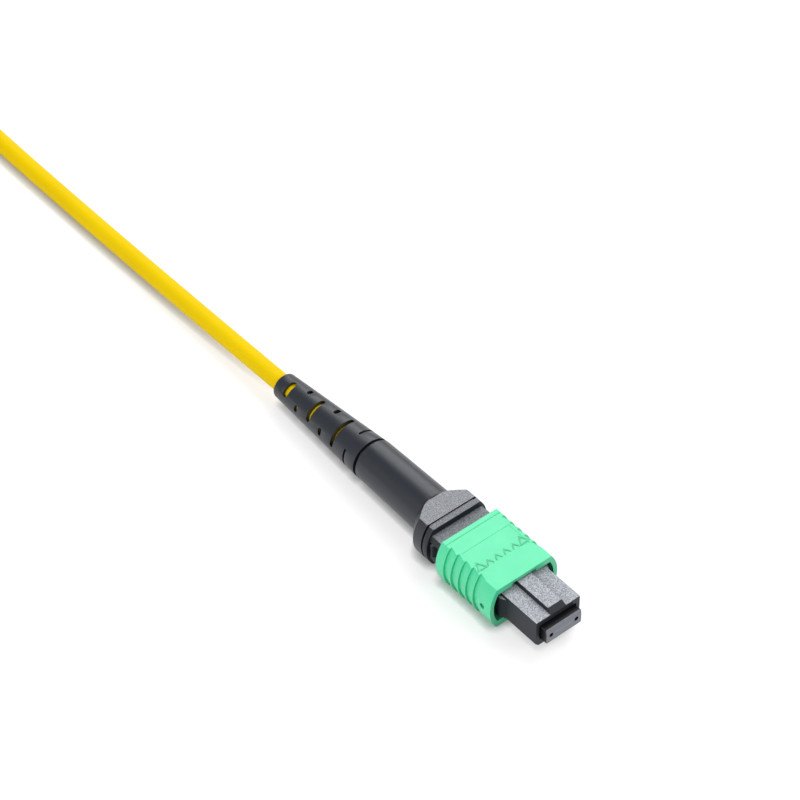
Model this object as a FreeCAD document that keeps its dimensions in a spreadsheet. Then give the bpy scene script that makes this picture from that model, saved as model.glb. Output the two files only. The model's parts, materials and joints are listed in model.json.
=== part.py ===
"""Multi-fibre push-on connector with its strain-relief boot on a round patch cord.

Every piece is drawn in the connector's own frame: +X is the mating direction, x = 0 is the front face of the
nose, z = 0 is the ferrule's axis. Each piece is then placed so that the housing stands on z = 0.
"""
import FreeCAD, Part
import math
import os
import re
import Sketcher

SIZES = {
    # outer (pull) housing
    "housing_width": 12.4,
    "housing_height": 7.6,
    "housing_arch": 1.2,
    "housing_length": 11.7,
    "housing_setback": 7.1,
    "housing_roof": 1.05,
    "housing_side": 0.7,
    "mouth_arch": 0.75,
    "body_arch": 0.6,
    "flute_first": 1.65,
    "flute_pitch": 1.58,
    "flute_count": 5,
    "flute_slope": 1.45,
    "flute_deep": 0.34,
    "flute_sweep": 100,
    "lip_length": 0.85,
    "lip_width": 9.8,
    "line_wide": 0.14,
    "line_deep": 0.08,
    "panel_front": 3.7,
    "panel_length": 4.6,
    "panel_width": 8.6,
    "panel_deep": 0.05,
    "dimple": 0.33,
    "dimple_back": 1.7,
    "dimple_deep": 1.2,
    "driver_back": 3.6,
    "driver_length": 0.9,
    "driver_height": 1.2,
    "fit_gap": 0.1,
    "slide_gap": 0.3,
    "roof_gap": 0.25,
    # ferrule and what it carries
    "ferrule_width": 6.4,
    "ferrule_height": 2.5,
    "ferrule_length": 8.0,
    "ferrule_proud": 1.25,
    "ferrule_bevel": 0.12,
    "face_angle": 8.0,
    "face_land": 0.9,
    "face_edge": 0.14,
    "shoulder_step": 0.3,
    "shoulder_rise": 0.25,
    "shoulder_length": 2.0,
    "guide_radius": 0.35,
    "guide_spacing": 4.6,
    "fibre_count": 12,
    "fibre_pitch": 0.25,
    "fibre_radius": 0.0625,
    "fibre_length": 3.6,
    "glue_width": 3.6,
    "glue_height": 1.0,
    "sleeve_width": 3.5,
    "sleeve_height": 1.6,
    "sleeve_length": 6.4,
    "sleeve_depth": 2.8,
    "ribbon_width": 3.1,
    "ribbon_height": 0.32,
    "keeper_length": 2.2,
    "pin_room": 0.08,
    "spring_room": 0.5,
    "spring_rise": 0.3,
    "spring_wire": 0.42,
    "spring_length": 7.0,
    "spring_turns": 5.5,
    "spring_corners": 12,
    # inner housing
    "well_side": 0.2,
    "well_rise": 0.4,
    "nose_wall": 0.3,
    "nose_roof": 0.5,
    "nose_floor": 0.55,
    "nose_length": 10.3,
    "nose_cut": 0.55,
    "key_width": 2.55,
    "key_flare": 0.15,
    "key_rise": 0.65,
    "key_length": 8.5,
    "key_slope": 0.8,
    "key_room": 0.9,
    "catch_start": 5.9,
    "catch_top": 7.0,
    "catch_end": 8.0,
    "catch_rise": 0.5,
    "inner_length": 22.45,
    "flange_length": 0.95,
    "window_length": 1.7,
    "window_height": 3.1,
    "groove_start": 10.6,
    "groove_length": 6.8,
    "groove_height": 1.6,
    # coupling springs
    "coil_radius": 0.5,
    "coil_wire": 0.2,
    "coil_turns": 7,
    "coil_corners": 8,
    # spring push and the crimp
    "hook_length": 1.3,
    "hook_lead": 0.8,
    "hook_height": 2.2,
    "neck_inset": 0.4,
    "neck_length": 0.3,
    "plug_length": 2.3,
    "barrel_wall": 0.5,
    "barrel_length": 8.5,
    "yarn_wall": 0.35,
    "crimp_wall": 0.35,
    "crimp_gap": 1.35,
    "crimp_land": 0.25,
    "crimp_neck": 3.85,
    # boot
    "collar_inset": 0.27,
    "collar_side": 0.6,
    "collar_wall": 1.2,
    "collar_roof": 0.9,
    "collar_straight": 1.75,
    "collar_cone": 1.55,
    "collar_small": 4.15,
    "collar_step": 0.4,
    "tube_radius": 3.66,
    "tube_small": 3.38,
    "tube_length": 17.75,
    "tail_length": 21.0,
    "tail_radius": 2.1,
    "tail_round": 0.3,
    "tail_droop": 2.08,
    "droop_lead": 3.0,
    "boot_ease": 0.25,
    "cable_ease": 0.2,
    "slot_turn": 30.0,
    "slot_first": 2.5,
    "slot_pitch": 3.08,
    "slot_wide": 0.9,
    "slot_narrow": 0.55,
    "slot_floor": 0.7,
    "slot_shallow": 1.95,
    "slot_half_rear": 1.45,
    "slot_half_middle": 2.1,
    "slot_half_front": 2.6,
    "window_inner_rear": 1.3,
    "window_outer_rear": 2.0,
    "window_inner_middle": 1.6,
    "window_outer_middle": 2.35,
    "window_inner_front": 1.7,
    "window_outer_front": 2.75,
    "ring_groove": 0.45,
    "ring_deep": 0.5,
    # cord
    "cable_radius": 1.5,
    "hank_lift": 0.6,
    "hank_fold": 7.5,
    "hank_rows": 5,
    "hank_columns": 2,
    "hank_straight": 20.0,
    "hank_start": 144.0,
    "strap_wide": 6.0,
    "far_mouth": 190.0,
    "far_shift": 3.0,
}

doc = FreeCAD.newDocument("FibreConnector")
sheet = doc.addObject("Spreadsheet::Sheet", "Sizes")
for row, (alias, number) in enumerate(SIZES.items(), 1):
    sheet.set(f"A{row}", alias)
    sheet.set(f"B{row}", str(number))
    sheet.setAlias(f"B{row}", alias)
doc.recompute()


def bound(text):
    """The expression with each size's name pointed at its cell."""
    return re.sub(r"[a-z_]+", lambda m: "Sizes." + m[0] if m[0] in SIZES else m[0], text)


def size(text):
    """The number that an expression has now."""
    return float(sheet.evalExpression(bound(text)))


def tie(thing, name, text):
    thing.setExpression(name, bound(text))


# sizes that follow from others
SHOULDER_WIDTH = "(ferrule_width + 2 * shoulder_step)"
SHOULDER_HEIGHT = "(ferrule_height + 2 * shoulder_rise)"
WELL_WIDTH = f"({SHOULDER_WIDTH} + 2 * well_side)"
WELL_HEIGHT = f"({SHOULDER_HEIGHT} + 2 * well_rise)"
NOSE_WIDTH = f"({WELL_WIDTH} + 2 * nose_wall)"
NOSE_TOP = f"({WELL_HEIGHT} / 2 + nose_roof)"
NOSE_BOTTOM = f"({WELL_HEIGHT} / 2 + nose_floor)"
HOUSING_FLAT = "(housing_width - 2 * housing_arch)"
MOUTH_WIDTH = "(housing_width - 2 * housing_side)"
MOUTH_HEIGHT = "(housing_height - 2 * housing_roof)"
MOUTH_FLAT = f"({MOUTH_WIDTH} - 2 * mouth_arch)"
BODY_WIDTH = f"({MOUTH_WIDTH} - 2 * slide_gap)"
BODY_FLAT = f"({BODY_WIDTH} - 2 * body_arch)"
BODY_HEIGHT = f"({MOUTH_HEIGHT} - 2 * roof_gap)"
GROOVE_ROOT = f"({NOSE_WIDTH} / 2 + fit_gap / 2)"
COLLAR_RADIUS = "(housing_width / 2 - collar_side)"
COLLAR_HEIGHT = "(housing_height - 2 * collar_inset)"
NECK_RADIUS = f"({COLLAR_RADIUS} - neck_inset)"
PLUG_RADIUS = f"({COLLAR_RADIUS} - collar_wall)"
PLUG_HEIGHT = f"({COLLAR_HEIGHT} - 2 * collar_roof)"
BARREL_BORE = "(ribbon_width / 2 + fit_gap / 2)"
BARREL_RADIUS = f"({BARREL_BORE} + barrel_wall)"
YARN_RADIUS = f"({BARREL_RADIUS} + yarn_wall)"
CRIMP_RADIUS = f"({YARN_RADIUS} + crimp_wall)"
SPRING_WIDTH = f"({WELL_WIDTH} - 2 * spring_room)"
SPRING_HEIGHT = f"({WELL_HEIGHT} - 2 * spring_rise)"
HANK_TALL = "(hank_rows * 2 * cable_radius)"
HANK_OUTER = "(hank_fold + hank_columns * 2 * cable_radius)"

# places along the connector that several pieces share
FERRULE_REAR = "(ferrule_proud - ferrule_length)"
SHOULDER = f"({FERRULE_REAR} + shoulder_length)"
SLEEVE_FRONT = f"({FERRULE_REAR} + sleeve_depth)"
KEEPER_REAR = f"({FERRULE_REAR} - keeper_length)"
SEAT = f"({KEEPER_REAR} - spring_length)"
FRONT = "-housing_setback"
REAR = "(-housing_setback - housing_length)"
DRIVER_FRONT = "(-housing_setback - driver_back)"
DRIVER_REAR = f"({DRIVER_FRONT} - driver_length)"
GROOVE_END = "(-groove_start - groove_length)"
NECK_REAR = "(-inner_length - neck_length)"
PLUG_REAR = f"({NECK_REAR} - plug_length)"
BARREL_REAR = f"({PLUG_REAR} - barrel_length)"
CRIMP_FRONT = f"({PLUG_REAR} - crimp_gap)"
CRIMP_END = f"({BARREL_REAR} - crimp_neck)"
COLLAR_END = f"({NECK_REAR} - collar_straight - collar_cone)"
TUBE_END = f"({NECK_REAR} - tube_length)"
TAIL_END = f"({TUBE_END} - tail_length)"
PIVOT = f"({TUBE_END} + droop_lead)"
FLOOR = "housing_height / 2"
CENTRE = f"(-({TAIL_END}) - ferrule_proud) / 2"


# ---------------------------------------------------------------- sketching tools


def seat(thing, x="0", y="0", z="0"):
    """Move a piece from the connector's own frame to where the connector stands."""
    tie(thing, "Placement.Base.x", f"{CENTRE} + ({x})")
    tie(thing, "Placement.Base.y", y)
    tie(thing, "Placement.Base.z", f"{FLOOR} + ({z})")
    return thing


def new_body(label):
    return seat(doc.addObject("PartDesign::Body", label))


def bulge(start, end, radius):
    """The middle of the arc that leaves the straight line to the right of the way it is drawn."""
    half = (end - start) * 0.5
    outward = FreeCAD.Vector(half.y, -half.x, 0).normalize()
    rise = radius - math.sqrt(radius**2 - half.Length**2)
    return start + half + outward * rise


def pin_down(sketch, geometry, point, across, up):
    """Bind one point of a sketch to its two distances from the sketch's origin."""
    for kind, axis, text in (("DistanceX", -2, across), ("DistanceY", -1, up)):
        if text == "0":
            sketch.addConstraint(Sketcher.Constraint("PointOnObject", geometry, point, axis))
            continue
        number = sketch.addConstraint(Sketcher.Constraint(kind, -1, 1, geometry, point, size(text)))
        tie(sketch, f"Constraints[{number}]", text)


def on_plane(body, name, plane, offset, turn=None, pivot=None):
    """An empty sketch on one of the body's planes, turned about an axis if asked."""
    sketch = body.newObject("Sketcher::SketchObject", name + "_outline")
    base = [feature for feature in body.Origin.OriginFeatures if feature.Role == plane][0]
    sketch.AttachmentSupport = [(base, "")]
    sketch.MapMode = "FlatFace"
    if turn:
        axis, angle = turn
        sketch.AttachmentOffset = FreeCAD.Placement(FreeCAD.Vector(), FreeCAD.Rotation(axis, size(angle)))
        tie(sketch, "AttachmentOffset.Rotation.Angle", angle)
    if pivot:
        tie(sketch, "AttachmentOffset.Base.x", pivot)
    tie(sketch, "AttachmentOffset.Base.z", offset)
    return sketch


def draw(body, name, plane, offset, corners, turn=None, pivot=None):
    """A closed outline with its corners bound to the sheet.

    Corners run counterclockwise. A third item is the radius of the outward arc that ends at that corner.
    """
    sketch = on_plane(body, name, plane, offset, turn, pivot)
    places = [FreeCAD.Vector(size(corner[0]), size(corner[1]), 0) for corner in corners]
    edges = []
    for index, corner in enumerate(corners):
        start, end = places[index - 1], places[index]
        if len(corner) == 3:
            edge = Part.Arc(start, bulge(start, end, size(corner[2])), end)
        else:
            edge = Part.LineSegment(start, end)
        edges.append(sketch.addGeometry(edge, False))
    for index, corner in enumerate(corners):
        sketch.addConstraint(Sketcher.Constraint("Coincident", edges[index - 1], 2, edges[index], 1))
        pin_down(sketch, edges[index], 2, corner[0], corner[1])
        if len(corner) == 3:
            number = sketch.addConstraint(Sketcher.Constraint("Radius", edges[index], size(corner[2])))
            tie(sketch, f"Constraints[{number}]", corner[2])
    return sketch


def circle(body, name, plane, offset, across, radius):
    """A circle on the sketch's horizontal axis."""
    sketch = on_plane(body, name, plane, offset)
    centre = FreeCAD.Vector(size(across), 0, 0)
    sketch.addGeometry(Part.Circle(centre, FreeCAD.Vector(0, 0, 1), size(radius)), False)
    pin_down(sketch, 0, 3, across, "0")
    number = sketch.addConstraint(Sketcher.Constraint("Radius", 0, size(radius)))
    tie(sketch, f"Constraints[{number}]", radius)
    return sketch


def feature(body, kind, name, sketch, length=None):
    made = body.newObject(f"PartDesign::{kind}", name)
    made.Profile = sketch
    if length:
        tie(made, "Length", length)
    return made


def pad(body, name, rear, front, corners):
    """A block along X between two places, its section given in (y, z)."""
    return feature(body, "Pad", name, draw(body, name, "YZ_Plane", rear, corners), f"({front}) - ({rear})")


def pocket(body, name, rear, front, corners):
    """A hollow along X between two places, its section given in (y, z)."""
    return feature(body, "Pocket", name, draw(body, name, "YZ_Plane", front, corners), f"({front}) - ({rear})")


def plan_pocket(body, name, low, high, corners, turn=None):
    """A hollow straight down between two heights, its outline given in (x, y)."""
    sketch = draw(body, name, "XY_Plane", high, corners, turn)
    return feature(body, "Pocket", name, sketch, f"({high}) - ({low})")


def side_pocket(body, name, half, corners):
    """A hollow right across the body, its outline given in (x, z)."""
    return feature(body, "Pocket", name, draw(body, name, "XZ_Plane", half, corners), f"2 * ({half})")


def turned(body, name, corners, kind="Revolution", turn=None, pivot=None):
    """A form turned about the X axis, its outline given in (x, radius)."""
    made = feature(body, kind, name, draw(body, name, "XZ_Plane", "0", corners, turn, pivot))
    made.ReferenceAxis = (made.Profile[0], ["H_Axis"])
    made.Angle = 360
    return made


def block(half_width, low, high):
    """A rectangle's corners, the same to both sides of the middle."""
    return [(f"-({half_width})", low), (half_width, low), (half_width, high), (f"-({half_width})", high)]


def frame(width, height):
    return block(f"({width}) / 2", f"-({height}) / 2", f"({height}) / 2")


def span(x_low, x_high, y_low, y_high):
    return [(x_low, y_low), (x_high, y_low), (x_high, y_high), (x_low, y_high)]


def strip(x_middle, width, y_low, y_high):
    """A rectangle of a given width in x about a middle."""
    return span(f"{x_middle} - {width} / 2", f"{x_middle} + {width} / 2", y_low, y_high)


def stadium(x_middle, width, y_low, y_high):
    """A slot's outline, long in y, with round ends."""
    left, right = f"{x_middle} - {width} / 2", f"{x_middle} + {width} / 2"
    near_end, far_end, radius = f"{y_low} + {width} / 2", f"{y_high} - {width} / 2", f"{width} / 2"
    first = [(left, near_end), (x_middle, y_low, radius), (right, near_end, radius)]
    return first + [(right, far_end), (x_middle, y_high, radius), (left, far_end, radius)]


def mirrored(sign, corners):
    """The outline on the right side, or its mirror image on the left, still counterclockwise."""
    if not sign:
        return corners
    return [(corner[0], f"-({corner[1]})") for corner in reversed(corners)]


def flank(width, flat, height):
    """The radius of a side that bulges from the flat's edge out to the full width."""
    rise = f"(({width}) - ({flat})) / 2"
    return f"((({height}) / 2)^2 + ({rise})^2) / (2 * {rise})"


def barrel_section(width, flat, height):
    """Flat top and bottom, arched sides."""
    radius = flank(width, flat, height)
    low, high, side = f"-({height}) / 2", f"({height}) / 2", f"({flat}) / 2"
    return [(f"-{side}", low, radius), (side, low), (side, high, radius), (f"-{side}", high)]


def drum_section(radius, height):
    """A disc with its top and bottom cut flat."""
    side = f"sqrt(({radius})^2 - (({height}) / 2)^2)"
    low, high = f"-({height}) / 2", f"({height}) / 2"
    return [(f"-{side}", low, radius), (side, low), (side, high, radius), (f"-{side}", high)]


SIDES = (("left", "-"), ("right", ""))


# ---------------------------------------------------------------- the connector's pieces


def outer_housing():
    """The pull housing: a flat-topped shell with arched, fluted sides, its mouth notched for the key."""
    body = new_body("outer_housing")
    pad(body, "shell", REAR, FRONT, barrel_section("housing_width", HOUSING_FLAT, "housing_height"))
    pocket(body, "mouth", REAR, FRONT, barrel_section(MOUTH_WIDTH, MOUTH_FLAT, MOUTH_HEIGHT))
    notch_top = f"{NOSE_TOP} + key_rise + 2 * fit_gap"
    pocket(body, "key_notch", "-key_length - slide_gap", FRONT, block("key_width / 2 + key_room", "0", notch_top))
    radius = flank("housing_width", HOUSING_FLAT, "housing_height")
    first = f"{REAR} + flute_first"
    for side, sign in SIDES:
        corners = [
            (first, "housing_width / 2 - flute_deep"),
            (f"{first} + flute_slope", "housing_width / 2"),
            (first, "housing_width / 2"),
        ]
        sketch = draw(body, f"flute_{side}", "XY_Plane", "0", mirrored(sign, corners))
        hub = f"{sign}(housing_width / 2 - {radius})"
        line = Part.LineSegment(FreeCAD.Vector(size(REAR), size(hub), 0), FreeCAD.Vector(size(FRONT), size(hub), 0))
        axis = sketch.addGeometry(line, True)
        pin_down(sketch, axis, 1, REAR, hub)
        pin_down(sketch, axis, 2, FRONT, hub)
        flute = feature(body, "Groove", f"flute_{side}", sketch)
        flute.ReferenceAxis = (sketch, ["Axis0"])
        tie(flute, "Angle", "flute_sweep")
        flute.Midplane = True
        rows = body.newObject("PartDesign::LinearPattern", f"flutes_{side}")
        rows.Originals = [flute]
        rows.Direction = (sketch, ["H_Axis"])
        tie(rows, "Length", "flute_pitch * (flute_count - 1)")
        tie(rows, "Occurrences", "flute_count")
        body.Tip = rows
    slant = "dimple * tan(22.5)"
    middle = f"({FRONT} - dimple_back)"
    eight = [("dimple", f"-{slant}"), ("dimple", slant), (slant, "dimple"), (f"-{slant}", "dimple")]
    eight += [("-dimple", slant), ("-dimple", f"-{slant}"), (f"-{slant}", "-dimple"), (slant, "-dimple")]
    corners = [(f"{middle} + {across}", up) for across, up in eight]
    for side, start in (("left", "housing_width / 2"), ("right", "-housing_width / 2 + dimple_deep")):
        sketch = draw(body, f"dimple_{side}", "XZ_Plane", start, corners)
        feature(body, "Pocket", f"dimple_{side}", sketch, "dimple_deep")
    line = strip(f"({REAR} + lip_length)", "line_wide", "-lip_width / 2", "lip_width / 2")
    plan_pocket(body, "lip_line_top", f"{FLOOR} - line_deep", FLOOR, line)
    plan_pocket(body, "lip_line_bottom", f"-{FLOOR}", f"-{FLOOR} + line_deep", line)
    panel_front = f"{FRONT} - panel_front"
    panel = span(f"{panel_front} - panel_length", panel_front, "-panel_width / 2", "panel_width / 2")
    plan_pocket(body, "panel", f"{FLOOR} - panel_deep", FLOOR, panel)
    reach = "housing_width / 2 - housing_side / 2"
    for side, sign in SIDES:
        driver = span(f"{GROOVE_ROOT} + fit_gap", reach, "-driver_height / 2", "driver_height / 2")
        if sign:
            driver = [(f"-({y})", z) for y, z in (driver[1], driver[0], driver[3], driver[2])]
        pad(body, f"driver_{side}", DRIVER_REAR, DRIVER_FRONT, driver)
    return body


def inner_housing():
    """The fixed housing: nose and key in front, body with spring grooves and latch windows, flange behind."""
    body = new_body("inner_housing")
    side = f"{NOSE_WIDTH} / 2"
    nose = [
        (f"-{side} + nose_cut", f"-{NOSE_BOTTOM}"),
        (f"{side} - nose_cut", f"-{NOSE_BOTTOM}"),
        (side, f"-{NOSE_BOTTOM} + nose_cut"),
        (side, NOSE_TOP),
        (f"-{side}", NOSE_TOP),
        (f"-{side}", f"-{NOSE_BOTTOM} + nose_cut"),
    ]
    pad(body, "nose", "-nose_length - fit_gap", "0", nose)
    root, crest = "key_width / 2 + key_flare", "key_width / 2"
    key = [
        (f"-({root})", f"{NOSE_TOP} - fit_gap"),
        (root, f"{NOSE_TOP} - fit_gap"),
        (crest, f"{NOSE_TOP} + key_rise"),
        (f"-{crest}", f"{NOSE_TOP} + key_rise"),
    ]
    pad(body, "key", "-key_length", "0", key)
    ramp = [("-key_slope", f"{NOSE_TOP} + key_rise"), ("0", NOSE_TOP), ("0", f"{NOSE_TOP} + key_rise")]
    side_pocket(body, "key_ramp", "key_width", ramp)
    pad(body, "rear_body", "-inner_length", "-nose_length", barrel_section(BODY_WIDTH, BODY_FLAT, BODY_HEIGHT))
    flange = drum_section(COLLAR_RADIUS, COLLAR_HEIGHT)
    pad(body, "flange", "-inner_length", "-inner_length + flange_length", flange)
    for name, sign in SIDES:
        base, crest = f"{side} - fit_gap", f"{side} + catch_rise"
        catch = [("-catch_end", base), ("-catch_start", base), ("-catch_top", crest), ("-catch_end", crest)]
        sketch = draw(body, f"catch_{name}", "XY_Plane", f"-{NOSE_BOTTOM} + nose_cut", mirrored(sign, catch))
        feature(body, "Pad", f"catch_{name}", sketch, f"{NOSE_BOTTOM} + {NOSE_TOP} - nose_cut - catch_rise")
        groove = span(GROOVE_ROOT, f"{BODY_WIDTH} / 2", "-groove_height / 2", "groove_height / 2")
        if sign:
            groove = [(f"-({y})", z) for y, z in (groove[1], groove[0], groove[3], groove[2])]
        pocket(body, f"spring_groove_{name}", GROOVE_END, "-groove_start", groove)
    throat = frame("ferrule_width + 3 * fit_gap", "ferrule_height + 3 * fit_gap")
    pocket(body, "throat", f"{SHOULDER} - fit_gap", "0", throat)
    pocket(body, "well", "-inner_length", f"{SHOULDER} + fit_gap", frame(WELL_WIDTH, WELL_HEIGHT))
    window_rear = "-inner_length + flange_length"
    window = span(window_rear, f"{window_rear} + window_length", f"-{BODY_WIDTH} / 2", f"{BODY_WIDTH} / 2")
    plan_pocket(body, "latch_windows", "-window_height / 2", "window_height / 2", window)
    return body


def ferrule():
    """The moulded ferrule: polished face with a row of fibre bores between two guide holes, shoulder behind."""
    body = new_body("ferrule")
    half, side = "ferrule_height / 2", "ferrule_width / 2"
    section = [
        (f"-{side} + ferrule_bevel", f"-{half}"),
        (f"{side} - ferrule_bevel", f"-{half}"),
        (side, f"-{half} + ferrule_bevel"),
        (side, f"{half} - ferrule_bevel"),
        (f"{side} - ferrule_bevel", half),
        (f"-{side} + ferrule_bevel", half),
        (f"-{side}", f"{half} - ferrule_bevel"),
        (f"-{side}", f"-{half} + ferrule_bevel"),
    ]
    pad(body, "shank", FERRULE_REAR, "ferrule_proud", section)
    pad(body, "shoulder", FERRULE_REAR, SHOULDER, frame(SHOULDER_WIDTH, SHOULDER_HEIGHT))
    back = f"ferrule_proud - ({half} - face_land / 2) * tan(face_angle)"
    slope = [
        (f"{back} - face_edge", half),
        (back, f"{half} - face_edge"),
        ("ferrule_proud", "face_land / 2"),
        ("ferrule_proud", half),
    ]
    side_pocket(body, "face_slope", "ferrule_width", slope)
    sleeve = frame("sleeve_width + fit_gap", "sleeve_height + fit_gap")
    pocket(body, "sleeve_pocket", FERRULE_REAR, SLEEVE_FRONT, sleeve)
    glue = frame("glue_width", "glue_height")
    pocket(body, "glue_pocket", SLEEVE_FRONT, "ferrule_proud - fibre_length", glue)
    for name, sign in SIDES:
        ring = circle(body, f"guide_{name}", "YZ_Plane", "ferrule_proud", f"{sign}guide_spacing / 2", "guide_radius")
        feature(body, "Pocket", f"guide_{name}", ring).Type = "ThroughAll"
    first = "-fibre_pitch * (fibre_count - 1) / 2"
    flat = "fibre_radius * cos(45)"
    eight = [("fibre_radius", "0"), (flat, flat), ("0", "fibre_radius"), (f"-{flat}", flat)]
    eight += [("-fibre_radius", "0"), (f"-{flat}", f"-{flat}"), ("0", "-fibre_radius"), (flat, f"-{flat}")]
    corners = [(f"{first} + {across}", up) for across, up in eight]
    sketch = draw(body, "fibre_bore", "YZ_Plane", "ferrule_proud", corners)
    bore = feature(body, "Pocket", "fibre_bore", sketch, "fibre_length")
    row = body.newObject("PartDesign::LinearPattern", "fibre_bores")
    row.Originals = [bore]
    row.Direction = (sketch, ["H_Axis"])
    tie(row, "Length", "fibre_pitch * (fibre_count - 1)")
    tie(row, "Occurrences", "fibre_count")
    body.Tip = row
    return body


def fibre_ends():
    """The fibre ends that fill the ferrule's bores, each a separate solid."""
    row = []
    for index in range(int(size("fibre_count"))):
        rod = doc.addObject("Part::Prism", f"fibre_{index + 1}")
        rod.Polygon = 8
        tie(rod, "Circumradius", "fibre_radius")
        tie(rod, "Height", "fibre_length")
        rod.Placement.Rotation = FreeCAD.Rotation(FreeCAD.Vector(0, 1, 0), 90)
        tie(rod, "Placement.Base.x", "ferrule_proud - fibre_length")
        tie(rod, "Placement.Base.y", f"fibre_pitch * ({index} - (fibre_count - 1) / 2)")
        row.append(rod)
    group = doc.addObject("Part::Compound", "fibre_ends")
    group.Links = row
    return seat(group)


def slab(label, rear, front, width, height):
    """A plain block centred on the axis."""
    box = doc.addObject("Part::Box", label)
    tie(box, "Length", f"({front}) - ({rear})")
    tie(box, "Width", width)
    tie(box, "Height", height)
    return seat(box, rear, f"-({width}) / 2", f"-({height}) / 2")


def epoxy_fill():
    """The glue that fills the ferrule's window behind the bores."""
    return slab("epoxy_fill", SLEEVE_FRONT, "ferrule_proud - fibre_length", "glue_width", "glue_height")


def ferrule_boot():
    """The rubber sleeve that leads the ribbon into the ferrule."""
    body = new_body("ferrule_boot")
    rear = f"{SLEEVE_FRONT} - sleeve_length"
    pad(body, "sleeve", rear, SLEEVE_FRONT, frame("sleeve_width", "sleeve_height"))
    pocket(body, "sleeve_way", rear, SLEEVE_FRONT, frame("ribbon_width + fit_gap", "ribbon_height + fit_gap"))
    return body


def pin_keeper():
    """The frame behind the ferrule that holds guide pins in the other gender, here with its holes empty."""
    body = new_body("pin_keeper")
    outside = frame(f"{SHOULDER_WIDTH} - 4 * fit_gap", f"{SHOULDER_HEIGHT} - 2 * fit_gap")
    pad(body, "keeper", KEEPER_REAR, FERRULE_REAR, outside)
    way = frame("sleeve_width + fit_gap", "sleeve_height + 2 * fit_gap")
    pocket(body, "keeper_way", KEEPER_REAR, FERRULE_REAR, way)
    for name, sign in SIDES:
        centre = f"{sign}guide_spacing / 2"
        ring = circle(body, f"pin_hole_{name}", "YZ_Plane", FERRULE_REAR, centre, "guide_radius + pin_room")
        feature(body, "Pocket", f"pin_hole_{name}", ring).Type = "ThroughAll"
    return body


def fibre_ribbon():
    """The ribbon of fibres from the ferrule's sleeve back to the cable."""
    return slab("fibre_ribbon", BARREL_REAR, f"{SLEEVE_FRONT} - sleeve_length", "ribbon_width", "ribbon_height")


def coil(label, outline, turns, length, wire):
    """A wound wire of square section: flat-sided steps along an outline, each turn one pitch further on.

    The outline is a closed ring of (y, z, outward y, outward z) for the wire's middle line.
    """
    sections = []
    steps = round(len(outline) * turns)
    for step in range(steps + 1):
        y, z, out_y, out_z = outline[step % len(outline)]
        middle = FreeCAD.Vector((length - wire) * step / steps + wire / 2, y, z)
        out, along = FreeCAD.Vector(0, out_y, out_z) * (wire / 2), FreeCAD.Vector(wire / 2, 0, 0)
        sections.append([middle - out - along, middle + out - along, middle + out + along, middle - out + along])
    faces = [Part.Face(Part.makePolygon(ring + ring[:1])) for ring in (sections[0], sections[-1])]
    for near, far in zip(sections, sections[1:]):
        for side in range(4):
            a, b, c, d = near[side], near[side - 1], far[side - 1], far[side]
            faces += [Part.Face(Part.makePolygon([a, b, c, a])), Part.Face(Part.makePolygon([a, c, d, a]))]
    made = doc.addObject("Part::Feature", label)
    made.Shape = Part.Solid(Part.Shell(faces))
    return made


def rounded_outline(half_width, half_height, corners):
    """A ring of points with round ends at left and right, straight above and below."""
    ring = []
    for index in range(int(corners)):
        angle = 2 * math.pi * (index + 0.5) / corners
        out_y, out_z = math.cos(angle), math.sin(angle)
        shift = math.copysign(half_width - half_height, out_y)
        ring.append((shift + half_height * out_y, half_height * out_z, out_y, out_z))
    return ring


def ferrule_spring():
    """The oval coil that pushes the ferrule forward from the rear body's seat."""
    wire, corners = size("spring_wire"), size("spring_corners")
    half_width = size(f"({SPRING_WIDTH} - spring_wire) / 2")
    half_height = size(f"({SPRING_HEIGHT} - spring_wire) / 2")
    outline = rounded_outline(half_width, half_height, corners)
    spring = coil("ferrule_spring", outline, size("spring_turns"), size("spring_length"), wire)
    spring.Placement.Base = FreeCAD.Vector(size(f"{CENTRE} + {SEAT}"), 0, size(FLOOR))
    return spring


def coupling_spring(side, sign):
    """A small coil in the inner housing's side groove, between its rear wall and the outer housing's driver."""
    radius, length = size("coil_radius"), size(f"{DRIVER_REAR} - {GROOVE_END} - 2 * fit_gap")
    outline = rounded_outline(radius, radius, size("coil_corners"))
    spring = coil(f"coupling_spring_{side}", outline, size("coil_turns"), length, size("coil_wire"))
    across = size(f"{sign}({GROOVE_ROOT} + coil_radius + coil_wire / 2 + fit_gap)")
    spring.Placement.Base = FreeCAD.Vector(size(f"{CENTRE} + {GROOVE_END} + fit_gap"), across, size(FLOOR))
    return spring


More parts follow.
